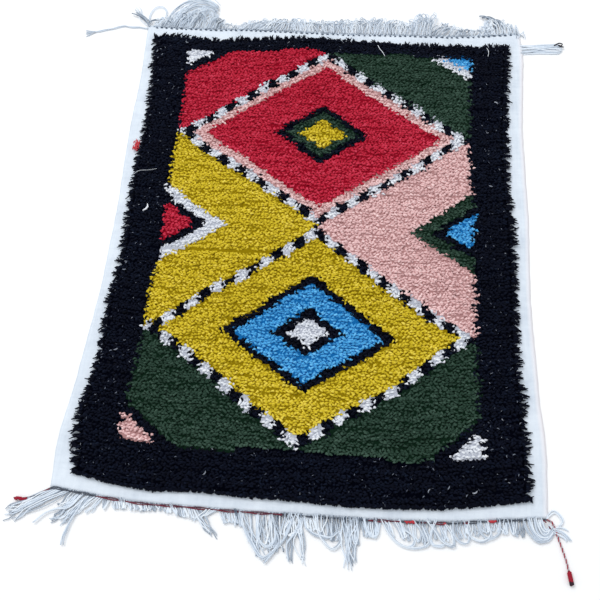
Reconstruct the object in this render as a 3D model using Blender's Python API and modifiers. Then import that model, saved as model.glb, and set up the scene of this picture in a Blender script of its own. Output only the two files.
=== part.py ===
"""A small hand-knotted wool rug, lying flat on the floor.

The wool pile is knotted into a plain cotton cloth, which shows as a white margin all round. A
twined cord locks the near end of the weave, loose warp ends make the near fringe, curled warp
loops make the far one, and yarn ends are left at three corners.

Metres, +Z up. The rug lies on z = 0 and runs from its near end to its far end along +Y. The tables
give places from the middle of the cloth, and the finished rug is then centred on the origin.
"""

import math
import random
from bisect import bisect
from collections import namedtuple

import bmesh
import bpy
from mathutils import Vector, noise

UP = Vector((0, 0, 1))
RIGHT = Vector((1, 0, 0))
FAR = Vector((0, 1, 0))

# Driving sizes
CLOTH_LENGTH = 1.282
CLOTH_THICKNESS = 0.002
CLEARANCE = 0.0003
PILE_HEIGHT = 0.0150

# The cloth's and the pile's side edges, at places along the rug. The pile's locks reach past these.
Side = namedtuple("Side", "y cloth_left pile_left pile_right cloth_right")
SIDES = (
    Side(-0.640, -0.501, -0.458, 0.466, 0.500),
    Side(-0.570, -0.506, -0.472, 0.468, 0.503),
    Side(-0.500, -0.500, -0.471, 0.463, 0.503),
    Side(-0.430, -0.494, -0.462, 0.464, 0.497),
    Side(-0.350, -0.490, -0.456, 0.456, 0.494),
    Side(-0.200, -0.482, -0.458, 0.456, 0.489),
    Side(-0.100, -0.482, -0.448, 0.458, 0.490),
    Side(0.050, -0.483, -0.454, 0.456, 0.494),
    Side(0.180, -0.489, -0.458, 0.450, 0.492),
    Side(0.320, -0.493, -0.454, 0.451, 0.491),
    Side(0.460, -0.492, -0.459, 0.455, 0.498),
    Side(0.600, -0.500, -0.470, 0.463, 0.502),
    Side(0.641, -0.501, -0.472, 0.463, 0.498),
)

# The cloth's and the pile's end edges, at places across the rug
End = namedtuple("End", "x cloth_near pile_near pile_far cloth_far")
ENDS = (
    End(-0.50, -0.639, -0.598, 0.592, 0.640),
    End(-0.40, -0.651, -0.620, 0.590, 0.635),
    End(-0.30, -0.661, -0.634, 0.579, 0.633),
    End(-0.20, -0.661, -0.631, 0.588, 0.634),
    End(-0.10, -0.664, -0.636, 0.592, 0.630),
    End(0.00, -0.663, -0.637, 0.588, 0.626),
    End(0.10, -0.665, -0.641, 0.582, 0.624),
    End(0.20, -0.662, -0.640, 0.576, 0.625),
    End(0.30, -0.661, -0.634, 0.573, 0.622),
    End(0.40, -0.649, -0.620, 0.573, 0.627),
    End(0.50, -0.640, -0.602, 0.578, 0.638),
)

# A strand of fringe: the place of its root along the edge, how far its tip reaches out, how far the
# tip drifts along the edge, and how high it arches in between. Strands between two rows lie between.
Strand = namedtuple("Strand", "root reach drift lift")
NEAR_STRANDS = (
    Strand(-0.488, 0.068, -0.086, 0),
    Strand(-0.450, 0.066, -0.070, 0),
    Strand(-0.420, 0.078, -0.054, 0),
    Strand(-0.385, 0.090, -0.056, 0),
    Strand(-0.355, 0.036, -0.020, 0),
    Strand(-0.300, 0.030, -0.006, 0),
    Strand(-0.200, 0.024, 0.000, 0),
    Strand(-0.150, 0.052, 0.014, 0),
    Strand(-0.110, 0.036, 0.010, 0),
    Strand(-0.074, 0.094, 0.022, 0),
    Strand(-0.045, 0.060, 0.014, 0),
    Strand(-0.020, 0.056, 0.010, 0),
    Strand(0.000, 0.098, 0.006, 0),
    Strand(0.030, 0.088, -0.004, 0),
    Strand(0.060, 0.042, -0.006, 0),
    Strand(0.090, 0.052, 0.006, 0),
    Strand(0.112, 0.098, 0.002, 0),
    Strand(0.130, 0.084, -0.004, 0),
    Strand(0.155, 0.038, 0.000, 0),
    Strand(0.210, 0.050, 0.008, 0),
    Strand(0.270, 0.050, 0.006, 0),
    Strand(0.330, 0.042, 0.004, 0),
    Strand(0.375, 0.028, 0.002, 0),
    Strand(0.430, 0.040, 0.010, 0),
    Strand(0.465, 0.044, 0.012, 0),
    Strand(0.492, 0.028, 0.006, 0),
)
FAR_STRANDS = (
    Strand(-0.496, 0.054, -0.046, 0.004),
    Strand(-0.470, 0.036, -0.012, 0.008),
    Strand(-0.445, 0.044, 0.006, 0.012),
    Strand(-0.410, 0.078, 0.034, 0.016),
    Strand(-0.360, 0.092, 0.030, 0.020),
    Strand(-0.310, 0.034, 0.006, 0.012),
    Strand(-0.260, 0.026, 0.004, 0.008),
    Strand(-0.200, 0.036, 0.006, 0.012),
    Strand(-0.050, 0.038, -0.004, 0.013),
    Strand(0.050, 0.044, 0.000, 0.014),
    Strand(0.100, 0.056, 0.006, 0.016),
    Strand(0.170, 0.038, 0.004, 0.012),
    Strand(0.245, 0.072, 0.008, 0.016),
    Strand(0.300, 0.032, -0.006, 0.010),
    Strand(0.380, 0.034, -0.012, 0.010),
    Strand(0.440, 0.058, -0.026, 0.014),
    Strand(0.496, 0.022, -0.010, 0.006),
)
RIGHT_TIE_Y = 0.578
CORNER_LOOPS_Y = -0.618
RIGHT_TIE_STRANDS = (
    Strand(-0.012, 0.100, 0.006, 0),
    Strand(0.012, 0.108, -0.002, 0),
)
CORNER_STRANDS = (
    Strand(-0.012, 0.020, -0.034, 0),
    Strand(0.012, 0.034, -0.046, 0),
)
BRUSH_STRANDS = (
    Strand(-0.003, 0.018, -0.010, 0),
    Strand(0.003, 0.022, 0.008, 0),
)

# The edge that a fringe grows from: its line, as a function of the place along it, and the directions
# along it and out of it
Edge = namedtuple("Edge", "line along outward")

# A fringe: its rows of strands, how far apart the roots are, and the steps in each strand
Fringe = namedtuple("Fringe", "strands pitch steps")
NEAR_FRINGE = Fringe(NEAR_STRANDS, 0.0110, 3)
FAR_FRINGE = Fringe(FAR_STRANDS, 0.0130, 4)
RIGHT_TIE = Fringe(RIGHT_TIE_STRANDS, 0.0060, 3)
CORNER_LOOPS = Fringe(CORNER_STRANDS, 0.0120, 4)
TIE_BRUSH = Fringe(BRUSH_STRANDS, 0.0020, 3)
REACH_SPREAD = (0.86, 1.10)
LIFT_SPREAD = (0.75, 1.20)

# Lines of the cloth's and the pile's grids, as shares of their width and length
MARGIN_SHARE = 0.021
MARGIN_COLUMNS = 3
INNER_COLUMNS = 11
CLOTH_ROWS = 25
RIPPLE = 0.003
RIPPLES_PER_METRE = 9

SHOULDER = 0.016
PILE_COLUMNS = 24
PILE_ROWS = 30
LUMP = 0.0022
LUMPS_PER_METRE = 16

# The pile parts along one row of knots, left of the middle
PARTING_Y = -0.070
PARTING_X = (-0.385, -0.035)
PARTING_HALF_WIDTH = 0.009
PARTING_DEPTH = 0.0045

# Locks at the pile's rim: how many points each rim edge is cut into, and how far the locks reach
LOCK_CUTS = 3
SIDE_LOCK = (0.004, 0.012)
FAR_LOCK = (0.004, 0.012)
NEAR_LOCK = (0.002, 0.006)
LOCK_TIP_HEIGHT = 0.0055
LOCK_NOTCH_HEIGHT = 0.0100
LOCK_NOTCH_DEPTH = 0.002
PILE_FOOT_INSET = 0.005
CORNER_SPREAD = 1

# The twined cord at the near end, and its tail past the left corner
TWINE_WIDTH = 0.0042
TWINE_THICKNESS = 0.0028
TWINE_RADIUS = math.hypot(TWINE_WIDTH, TWINE_THICKNESS) / 2
TWINE_STEP = 0.006
TWINE_TURN = math.radians(45)
TWINE_START = -0.494
TWINE_END = 0.496
TWINE_TAIL = (
    (-0.570, -0.667),
    (-0.552, -0.668),
    (-0.536, -0.666),
    (-0.521, -0.659),
    (-0.510, -0.650),
    (-0.502, -0.644),
)

# Fringe headings, which hold the strands' roots
HEADING_WIDTH = 0.005
HEADING_HEIGHT = 0.003
HALF_ROOT = 0.00225
ROOT_SHARE = 0.28

# The strands' width as a share of half their root's, how much thinner they get, how late they
# drift, and how far they sway as a share of their pitch
STRAND_SHARE = 1.6
TAPER = 0.001
DRIFT_POWER = 1.3
SWAY = 0.07

# The yarn end at the far left corner, along the floor
LEFT_TIE_DIAMETER = 0.0055
LEFT_TIE_STEP = 0.012
LEFT_TIE_ROUTE = (
    (-0.5014, 0.6275),
    (-0.5100, 0.6290),
    (-0.5210, 0.6310),
    (-0.5440, 0.6310),
    (-0.5650, 0.6350),
    (-0.5780, 0.6320),
    (-0.6050, 0.6230),
    (-0.6280, 0.6160),
    (-0.6460, 0.6120),
)

# The cord end at the near right corner, along the floor, and its bound end
CORNER_CORD_STEP = 0.0045
CORNER_CORD_ROUTE = (
    (0.4964, -0.6430),
    (0.5025, -0.6440),
    (0.5070, -0.6476),
    (0.5098, -0.6535),
    (0.5130, -0.6640),
    (0.5170, -0.6780),
    (0.5215, -0.6920),
    (0.5262, -0.7080),
    (0.5300, -0.7230),
    (0.5325, -0.7380),
)
KNOT_LENGTH = 0.027
KNOT_DIAMETER = 0.0075
KNOT_WRAPS = 6
KNOT_GROOVE = 0.9
KNOT_ROUNDING = 0.35
KNOT_END_SHARE = 0.06
KNOT_SIDES = 10

COTTON = (0.70, 0.78, 0.87)
WOOL_BLACK = (0.004, 0.006, 0.013)
TWINE_RED = (0.30, 0.05, 0.07)


def through(p0, p1, p2, p3, t):
    """The point a share t of the way from p1 to p2, on a smooth line through all four."""
    return (
        p1
        + (p2 - p0) * (t / 2)
        + (2 * p0 - 5 * p1 + 4 * p2 - p3) * (t**2 / 2)
        + (3 * p1 - p0 - 3 * p2 + p3) * (t**3 / 2)
    )


def between(rows, column, place):
    """The column's value at a place along the rows' first column, on a smooth line through them."""
    places = [row[0] for row in rows]
    place = min(max(place, places[0]), places[-1])
    last = len(rows) - 1
    end = next(i for i in range(1, last + 1) if place <= places[i])
    values = (getattr(rows[min(max(i, 0), last)], column) for i in range(end - 2, end + 2))
    return through(*values, (place - places[end - 1]) / (places[end] - places[end - 1]))


def on_rug(layer, across, along):
    """The place of the layer, cloth or pile, at shares of its width and of its length."""
    y = (along - 0.5) * CLOTH_LENGTH
    left = between(SIDES, f"{layer}_left", y)
    right = between(SIDES, f"{layer}_right", y)
    x = left + (right - left) * across
    near = between(ENDS, f"{layer}_near", x)
    far = between(ENDS, f"{layer}_far", x)
    return x, near + (far - near) * along


def smooth_route(points, step):
    """Points about a step apart along a smooth line through the route's own points."""
    points = [Vector(p) for p in points]
    ends = [points[0] * 2 - points[1], *points, points[-1] * 2 - points[-2]]
    route = []
    for four in zip(ends, ends[1:], ends[2:], ends[3:]):
        cuts = max(1, round((four[2] - four[1]).length / step))
        route += [through(*four, i / cuts) for i in range(cuts)]
    return [*route, points[-1]]


def material(name, colour, roughness=0.9):
    made = bpy.data.materials.new(name)
    made.use_nodes = True
    shader = made.node_tree.nodes["Principled BSDF"]
    shader.inputs["Base Color"].default_value = (*colour, 1)
    shader.inputs["Roughness"].default_value = roughness
    shader.inputs["Metallic"].default_value = 0
    return made


def add_object(name, data, collection, rug, finish):
    obj = bpy.data.objects.new(name, data)
    obj.data.materials.append(finish)
    obj.parent = rug
    collection.objects.link(obj)
    return obj


def add_bmesh(name, bm, collection, rug, finish):
    mesh = bpy.data.meshes.new(name)
    bm.to_mesh(mesh)
    bm.free()
    return add_object(name, mesh, collection, rug, finish)


def boundary(bm):
    return [e for e in bm.edges if e.is_boundary]


def new_grid(columns, rows):
    """A bmesh grid whose points keep their column and row, as (point, column, row)."""
    bm = bmesh.new()
    bmesh.ops.create_grid(bm, x_segments=columns - 1, y_segments=rows - 1, size=0.5)
    places = [
        (v, round((v.co.x + 0.5) * (columns - 1)), round((v.co.y + 0.5) * (rows - 1)))
        for v in bm.verts
    ]
    return bm, places


def cloth_columns():
    """Shares of the cloth's width, close together in its side margins."""
    margin = [MARGIN_SHARE * i / MARGIN_COLUMNS for i in range(MARGIN_COLUMNS)]
    inner = 1 - 2 * MARGIN_SHARE
    middle = [MARGIN_SHARE + inner * i / INNER_COLUMNS for i in range(INNER_COLUMNS + 1)]
    return [*margin, *middle, *(1 - share for share in reversed(margin))]


def cloth_end(x, along):
    """The y of the cloth's end edge at x, which is straight between the cloth's columns."""
    corners = [on_rug("cloth", across, along) for across in cloth_columns()]
    start = max(i for i, (left, _) in enumerate(corners[:-1]) if left <= x or i == 0)
    (x0, y0), (x1, y1) = corners[start : start + 2]
    return y0 + (y1 - y0) * (x - x0) / (x1 - x0)


def cloth_side(y):
    """The x of the cloth's right edge at y, which is straight between the cloth's rows."""
    corners = [on_rug("cloth", 1, row / (CLOTH_ROWS - 1)) for row in range(CLOTH_ROWS)]
    start = max(i for i, (_, near) in enumerate(corners[:-1]) if near <= y or i == 0)
    (x0, y0), (x1, y1) = corners[start : start + 2]
    return x0 + (x1 - x0) * (y - y0) / (y1 - y0)


def ground_cloth(collection, rug, finish):
    """The cloth: flat under the pile, with low ripples in its side margins."""
    columns = cloth_columns()
    bm, places = new_grid(len(columns), CLOTH_ROWS)
    for point, column, row in places:
        across = columns[column]
        x, y = on_rug("cloth", across, row / (CLOTH_ROWS - 1))
        side = max(0, 1 - min(across, 1 - across) / MARGIN_SHARE)
        wave = noise.noise(Vector((x, y, 0)) * RIPPLES_PER_METRE)
        point.co = (x, y, RIPPLE * side * max(0, wave))
    cloth = add_bmesh("ground_cloth", bm, collection, rug, finish)
    solidify = cloth.modifiers.new("Thickness", "SOLIDIFY")
    solidify.thickness = CLOTH_THICKNESS
    solidify.offset = 1
    return cloth


def pile_top(x, y):
    """The height of the pile's top: lumpy, and parted along one row."""
    height = PILE_HEIGHT + LUMP * noise.noise(Vector((x, y, 0)) * LUMPS_PER_METRE)
    if PARTING_X[0] < x < PARTING_X[1]:
        height -= PARTING_DEPTH * max(0, 1 - abs(y - PARTING_Y) / PARTING_HALF_WIDTH)
    return CLOTH_THICKNESS + CLEARANCE + height


def grid_lines(cells, extra=()):
    """Shares of a side: a shoulder at both ends and even lines between them."""
    inner = [SHOULDER + (1 - 2 * SHOULDER) * i / cells for i in range(cells + 1)]
    return sorted({0, *inner, *extra, 1})


def lock_reach(outward, chance):
    """How far a lock at this rim lies out over the margin."""
    if outward.y < -0.5:
        reach = NEAR_LOCK
    elif outward.y > 0.5:
        reach = FAR_LOCK
    else:
        reach = SIDE_LOCK
    return chance.uniform(*reach)


def bearing(vertex):
    return math.atan2(vertex.co.y, vertex.co.x)


def rim_outwards(rim):
    """The way out of the pile at each rim point: off its own side, and slantwise at a corner."""
    corners = [on_rug("pile", *share) for share in ((0, 0), (1, 0), (1, 1), (0, 1))]
    turns = [math.atan2(y, x) for x, y in corners]
    sides = (-RIGHT, -FAR, RIGHT, FAR, -RIGHT)
    ways = [sides[bisect(turns, bearing(point))] for point in rim]
    around = range(-CORNER_SPREAD, CORNER_SPREAD + 1)
    return [
        sum((ways[(i + j) % len(ways)] for j in around), Vector()).normalized()
        for i in range(len(ways))
    ]


def wool_pile(collection, rug, finish):
    """The pile: a lumpy slab whose rim is drawn out into locks over the cloth's margin."""
    middle = 0.5 + PARTING_Y / CLOTH_LENGTH
    half = PARTING_HALF_WIDTH / CLOTH_LENGTH
    columns = grid_lines(PILE_COLUMNS)
    rows = grid_lines(PILE_ROWS, (middle - half, middle, middle + half))
    bm, places = new_grid(len(columns), len(rows))
    for point, column, row in places:
        x, y = on_rug("pile", columns[column], rows[row])
        point.co = (x, y, pile_top(x, y))

    straight = [e for e in boundary(bm) if all(len(v.link_edges) > 2 for v in e.verts)]
    bmesh.ops.subdivide_edges(bm, edges=straight, cuts=LOCK_CUTS)
    rim_edges = boundary(bm)
    rim = sorted({v for e in rim_edges for v in e.verts}, key=bearing)
    outwards = rim_outwards(rim)
    walls = bmesh.ops.extrude_edge_only(bm, edges=rim_edges)["geom"]
    foot = sorted((g for g in walls if isinstance(g, bmesh.types.BMVert)), key=bearing)
    for point, outward in zip(foot, outwards):
        point.co -= outward * PILE_FOOT_INSET
        point.co.z = CLOTH_THICKNESS + CLEARANCE
    bmesh.ops.edgeloop_fill(bm, edges=boundary(bm))

    chance = random.Random("locks")
    for i, (point, outward) in enumerate(zip(rim, outwards)):
        if i % 2:
            point.co += outward * lock_reach(outward, chance)
            point.co.z = CLOTH_THICKNESS + LOCK_TIP_HEIGHT
        else:
            point.co -= outward * LOCK_NOTCH_DEPTH
            point.co.z = CLOTH_THICKNESS + LOCK_NOTCH_HEIGHT
    bmesh.ops.recalc_face_normals(bm, faces=bm.faces)
    return add_bmesh("wool_pile", bm, collection, rug, finish)


def section_corners(centre, tangent, width, thickness, signs, turn=0):
    """The corners of a section across the tangent, in the order of the face that it continues."""
    side = tangent.cross(UP).normalized()
    rise = side.cross(tangent).normalized()
    wide = side * math.cos(turn) + rise * math.sin(turn)
    tall = rise * math.cos(turn) - side * math.sin(turn)
    return [centre + wide * (a * width / 2) + tall * (b * thickness / 2) for a, b in signs]


def corner_signs(face, tangent):
    """Which side of the face's middle each corner lies on, sideways and upwards."""
    side = tangent.cross(UP).normalized()
    rise = side.cross(tangent).normalized()
    middle = face.calc_center_median()
    return [
        (math.copysign(1, (v.co - middle).dot(side)), math.copysign(1, (v.co - middle).dot(rise)))
        for v in face.verts
    ]


def extrude_along(bm, face, sections):
    """Extrudes a face through a list of sections, each a list of its corners."""
    for corners in sections:
        face = bmesh.ops.extrude_discrete_faces(bm, faces=[face])["faces"][0]
        for vertex, corner in zip(face.verts, corners):
            vertex.co = corner
    return face


def tangents_of(path):
    """The direction of the path at each of its points."""
    last = len(path) - 1
    return [
        (path[min(i + 1, last)] - path[max(i - 1, 0)]).normalized()
        for i in range(last + 1)
    ]


def loft(bm, path, width, thickness, turn=0):
    """A four-sided bar along the path, turning by an angle at each step if it is a twisted one."""
    signs = ((1, 1), (-1, 1), (-1, -1), (1, -1))
    sections = [
        section_corners(point, tangent, width, thickness, signs, turn * i)
        for i, (point, tangent) in enumerate(zip(path, tangents_of(path)))
    ]
    start = bm.faces.new([bm.verts.new(corner) for corner in sections[0]])
    extrude_along(bm, start, sections[1:])
    bmesh.ops.holes_fill(bm, edges=boundary(bm))
    bmesh.ops.recalc_face_normals(bm, faces=bm.faces)


def strand_path(root, edge, strand, sway, steps):
    """The middle line of a strand that leaves its heading straight and drifts along the edge."""
    path = []
    for i in range(1, steps + 1):
        share = i / steps
        drifted = strand.drift * share**DRIFT_POWER + sway * math.sin(2 * math.pi * share) * share
        arch = strand.lift * math.sin(math.pi * share)
        path.append(root + edge.outward * (strand.reach * share) + edge.along * drifted + UP * arch)
    return path


def strand_at(rows, place, chance):
    """The strand rooted at a place, between its rows, a little longer or shorter by chance."""
    scale = chance.uniform(*REACH_SPREAD)
    return Strand(
        place,
        between(rows, "reach", place) * scale,
        between(rows, "drift", place) * scale,
        between(rows, "lift", place) * chance.uniform(*LIFT_SPREAD),
    )


def fringe(name, edge, kind, collection, rug, finish):
    """A heading along an edge and the strands that grow from it, as one closed solid."""
    chance = random.Random(name)
    rows = kind.strands
    count = round((rows[-1].root - rows[0].root) / kind.pitch) + 1
    roots = [rows[0].root + kind.pitch * i for i in range(count)]
    half_root = min(HALF_ROOT, kind.pitch * ROOT_SHARE)
    stations = [place for root in roots for place in (root - half_root, root + half_root)]
    heading_middle = edge.outward * (CLEARANCE + HEADING_WIDTH / 2) + UP * (HEADING_HEIGHT / 2)
    bm = bmesh.new()
    loft(bm, [edge.line(s) + heading_middle for s in stations], HEADING_WIDTH, HEADING_HEIGHT)
    bm.normal_update()
    faces = [f for f in bm.faces if f.normal.dot(edge.outward) > 0.7]
    faces.sort(key=lambda f: f.calc_center_median().dot(edge.along))
    for face, place in zip(faces[::2], roots):
        sway = chance.uniform(-1, 1) * kind.pitch * SWAY
        root = face.calc_center_median()
        path = strand_path(root, edge, strand_at(rows, place, chance), sway, kind.steps)
        tangents = tangents_of([root, *path])[1:]
        signs = corner_signs(face, edge.outward)
        sections = []
        for i, (point, tangent) in enumerate(zip(path, tangents), 1):
            thickness = HEADING_HEIGHT - TAPER * i / kind.steps
            point.z -= (HEADING_HEIGHT - thickness) / 2
            sections.append(
                section_corners(point, tangent, half_root * STRAND_SHARE, thickness, signs)
            )
        extrude_along(bm, face, sections)
    bmesh.ops.recalc_face_normals(bm, faces=bm.faces)
    return add_bmesh(name, bm, collection, rug, finish)


def near_line(gap):
    """The cloth's near edge, moved out by a gap, as a function of x."""
    return lambda x: Vector((x, cloth_end(x, 0) - gap, 0))


def twisted_cord(name, floor_path, collection, rug, finish):
    """Two yarns twisted together and lying on the floor, as one bar that turns along its path."""
    bm = bmesh.new()
    path = [point + UP * TWINE_RADIUS for point in floor_path]
    loft(bm, path, TWINE_WIDTH, TWINE_THICKNESS, TWINE_TURN)
    return add_bmesh(name, bm, collection, rug, finish)


def near_twining(collection, rug, finish):
    """The cord twined across the warps, with the tail that it leaves at the left corner."""
    edge = near_line(CLEARANCE + TWINE_RADIUS)
    tail = smooth_route([*((*p, 0) for p in TWINE_TAIL), edge(TWINE_START)], TWINE_STEP)
    steps = round((TWINE_END - TWINE_START) / TWINE_STEP)
    along = [edge(TWINE_START + TWINE_STEP * (i + 1)) for i in range(steps)]
    return twisted_cord("near_twining", [*tail, *along], collection, rug, finish)


def corner_cord(collection, rug, finish):
    """The other end of the twined cord, lying loose past the near right corner."""
    route = smooth_route([(*p, 0) for p in CORNER_CORD_ROUTE], CORNER_CORD_STEP)
    return twisted_cord("corner_cord", route, collection, rug, finish)


def left_tie(collection, rug, finish):
    """The round yarn that leaves the cloth at the far left corner and lies along the floor."""
    curve = bpy.data.curves.new("left_tie", "CURVE")
    curve.dimensions = "3D"
    curve.bevel_depth = LEFT_TIE_DIAMETER / 2
    curve.bevel_resolution = 2
    curve.use_fill_caps = True
    points = smooth_route([(*p, 0) for p in LEFT_TIE_ROUTE], LEFT_TIE_STEP)
    spline = curve.splines.new("POLY")
    spline.points.add(len(points) - 1)
    for place, point in zip(spline.points, points):
        place.co = (point.x, point.y, LEFT_TIE_DIAMETER / 2, 1)
    return add_object("left_tie", curve, collection, rug, finish)


def corner_cord_knot(collection, rug, finish):
    """The bound end of the corner cord: a turned shape with a ridge for each wrap of yarn."""
    rings = KNOT_WRAPS * 2
    profile = [(0, KNOT_LENGTH)]
    for i in range(rings + 1):
        share = KNOT_END_SHARE + (1 - 2 * KNOT_END_SHARE) * i / rings
        radius = KNOT_DIAMETER / 2 * math.sin(math.pi * share) ** KNOT_ROUNDING
        groove = 1 if i % 2 else KNOT_GROOVE
        profile.append((radius * groove, KNOT_LENGTH * (1 - share)))
    profile.append((0, 0))
    mesh = bpy.data.meshes.new("corner_cord_knot")
    mesh.from_pydata(
        [(x, 0, z) for x, z in profile], [(i, i + 1) for i in range(len(profile) - 1)], []
    )
    knot = add_object("corner_cord_knot", mesh, collection, rug, finish)
    screw = knot.modifiers.new("Turned", "SCREW")
    screw.steps = screw.render_steps = KNOT_SIDES
    screw.use_merge_vertices = True
    screw.merge_threshold = 0.00001
    end, before = (Vector((*p, 0)) for p in reversed(CORNER_CORD_ROUTE[-2:]))
    direction = (end - before).normalized()
    knot.rotation_mode = "QUATERNION"
    knot.rotation_quaternion = direction.to_track_quat("Z", "Y")
    knot.location = end + direction * CLEARANCE + UP * (KNOT_DIAMETER / 2)
    return knot


def centre_on_origin(rug, parts):
    """Moves the rug so that the middle of these parts' bounds stands on the origin."""
    bpy.context.view_layer.update()
    graph = bpy.context.evaluated_depsgraph_get()
    corners = []
    for part in parts:
        evaluated = part.evaluated_get(graph)
        corners += [evaluated.matrix_world @ Vector(c) for c in evaluated.bound_box]
    for axis in (0, 1):
        places = [corner[axis] for corner in corners]
        rug.location[axis] = -(min(places) + max(places)) / 2


def build():
    for obj in list(bpy.data.objects):
        bpy.data.objects.remove(obj)
    collection = bpy.data.collections.new("Rug")
    bpy.context.scene.collection.children.link(collection)
    rug = bpy.data.objects.new("rug", None)
    collection.objects.link(rug)

    cotton = material("cotton", COTTON)
    wool = material("wool", WOOL_BLACK)
    twine = material("twine", TWINE_RED)

    def beside(middle):
        """The cloth's right edge about a place along the rug."""
        def line(offset):
            return Vector((cloth_side(middle + offset), middle + offset, 0))

        return Edge(line, FAR, RIGHT)

    near_edge = Edge(near_line(CLEARANCE + 2 * TWINE_RADIUS), RIGHT, -FAR)
    far_edge = Edge(lambda x: Vector((x, cloth_end(x, 1), 0)), RIGHT, FAR)
    parts = [
        ground_cloth(collection, rug, cotton),
        wool_pile(collection, rug, wool),
        near_twining(collection, rug, twine),
        fringe("near_fringe", near_edge, NEAR_FRINGE, collection, rug, cotton),
        fringe("far_fringe", far_edge, FAR_FRINGE, collection, rug, cotton),
        fringe("right_tie", beside(RIGHT_TIE_Y), RIGHT_TIE, collection, rug, cotton),
        fringe("corner_loops", beside(CORNER_LOOPS_Y), CORNER_LOOPS, collection, rug, cotton),
    ]

    left_tie(collection, rug, cotton)
    tie_end, tie_before = (Vector((*p, 0)) for p in reversed(LEFT_TIE_ROUTE[-2:]))
    out = (tie_end - tie_before).normalized()
    around = UP.cross(out)
    brush_edge = Edge(lambda offset: tie_end + around * offset, around, out)
    fringe("left_tie_brush", brush_edge, TIE_BRUSH, collection, rug, cotton)
    corner_cord(collection, rug, twine)
    corner_cord_knot(collection, rug, twine)
    centre_on_origin(rug, parts)


build()
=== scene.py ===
"""The looks of a small hand-knotted wool rug that lies flat on a pale floor.

Metres, +Z up, +Y from the rug's near end to its far end. Places along and across the rug are given
from the middle of its cloth, and RUG is where that middle lies in the frame.
"""

import math
import random

import bmesh
import bpy
import numpy as np
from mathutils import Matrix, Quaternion, Vector
from mathutils.bvhtree import BVHTree


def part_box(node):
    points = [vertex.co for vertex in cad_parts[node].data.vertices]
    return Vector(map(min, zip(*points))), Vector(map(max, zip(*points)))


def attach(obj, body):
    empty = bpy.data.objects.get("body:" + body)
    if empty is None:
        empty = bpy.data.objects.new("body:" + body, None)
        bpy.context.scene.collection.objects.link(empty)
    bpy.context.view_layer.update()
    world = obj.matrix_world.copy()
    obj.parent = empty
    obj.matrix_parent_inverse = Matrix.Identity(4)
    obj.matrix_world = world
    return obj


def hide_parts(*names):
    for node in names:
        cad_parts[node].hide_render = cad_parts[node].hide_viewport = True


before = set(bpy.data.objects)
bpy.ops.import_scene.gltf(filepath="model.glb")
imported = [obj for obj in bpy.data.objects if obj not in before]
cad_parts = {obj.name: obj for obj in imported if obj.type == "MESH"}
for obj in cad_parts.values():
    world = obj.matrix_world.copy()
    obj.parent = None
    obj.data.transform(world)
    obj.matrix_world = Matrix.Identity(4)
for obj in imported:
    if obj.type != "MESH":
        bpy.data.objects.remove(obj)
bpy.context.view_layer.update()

# The studio: a wide matt white floor under a soft pale sky and one broad lamp, and the camera high
# over the rug's near end, turned a little so that the rug leans as it does when seen by hand.
CLOTH_MIDDLE = Vector((-0.0009, -0.0122, 0))
CAMERA_PLACE = Vector((0.1322, -1.0558, 1.6896))
CAMERA_TARGET = Vector((-0.0219, -0.1836, 0))
CAMERA_ROLL = math.radians(-6.33)
CAMERA_LENS = 50.88
FLOOR_SIZE = 14
FLOOR_DROP = 0.0004
FLOOR_COLOUR = (0.97, 0.97, 0.97, 1)
LAMP_PLACE = Vector((-2.8, 2.4, 6.4))
LAMP_SIZE = 4.4
LAMP_POWER = 235
SKY_STRENGTH = 0.80
SKY_COLOUR = (0.95, 0.97, 1, 1)

low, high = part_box("ground_cloth")
RUG = Vector((*((low + high) / 2 - CLOTH_MIDDLE).xy, 0))


def add_object(name, data):
    """A new object at the origin, linked into the scene."""
    thing = bpy.data.objects.new(name, data)
    bpy.context.scene.collection.objects.link(thing)
    return thing


def matt_finish(name, roughness, gloss):
    """A new matt finish and its shader."""
    finish = bpy.data.materials.new(name)
    finish.use_nodes = True
    shader = finish.node_tree.nodes["Principled BSDF"]
    shader.inputs["Roughness"].default_value = roughness
    shader.inputs["Specular IOR Level"].default_value = gloss
    return finish, shader


camera = add_object("camera", bpy.data.cameras.new("camera"))
camera.data.lens = CAMERA_LENS
camera.data.clip_end = 100
camera.location = CAMERA_PLACE + RUG
camera.rotation_mode = "QUATERNION"
aim = (CAMERA_TARGET - CAMERA_PLACE).to_track_quat("-Z", "Y")
camera.rotation_quaternion = aim @ Quaternion((0, 0, 1), CAMERA_ROLL)
bpy.context.scene.camera = camera

lamp = add_object("lamp", bpy.data.lights.new("lamp", "AREA"))
lamp.data.energy = LAMP_POWER
lamp.data.size = LAMP_SIZE
lamp.location = LAMP_PLACE
lamp.rotation_mode = "QUATERNION"
lamp.rotation_quaternion = (-LAMP_PLACE).to_track_quat("-Z", "Y")

sky = bpy.data.worlds.new("sky")
sky.use_nodes = True
backdrop = sky.node_tree.nodes["Background"]
backdrop.inputs["Color"].default_value = SKY_COLOUR
backdrop.inputs["Strength"].default_value = SKY_STRENGTH
bpy.context.scene.world = sky
bpy.context.scene.view_settings.view_transform = "Standard"

floor_bm = bmesh.new()
bmesh.ops.create_grid(floor_bm, x_segments=1, y_segments=1, size=FLOOR_SIZE / 2)
bmesh.ops.translate(floor_bm, verts=floor_bm.verts, vec=(0, 0, -FLOOR_DROP))
floor_mesh = bpy.data.meshes.new("floor")
floor_bm.to_mesh(floor_mesh)
floor_bm.free()
floor = add_object("floor", floor_mesh)
floor_finish, floor_shader = matt_finish("floor", 1, 0)
floor_shader.inputs["Base Color"].default_value = FLOOR_COLOUR
floor_mesh.materials.append(floor_finish)


# The loose yarn at the far left corner: two soft cotton warps left long, lying side by side with
# hardly any twist, and frayed into a small brush at their end.


def route_of(*numbers):
    """A route's places from its numbers in millimetres, by turns across and along the rug."""
    return [(x / 1000, y / 1000) for x, y in zip(numbers[::2], numbers[1::2])]


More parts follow.
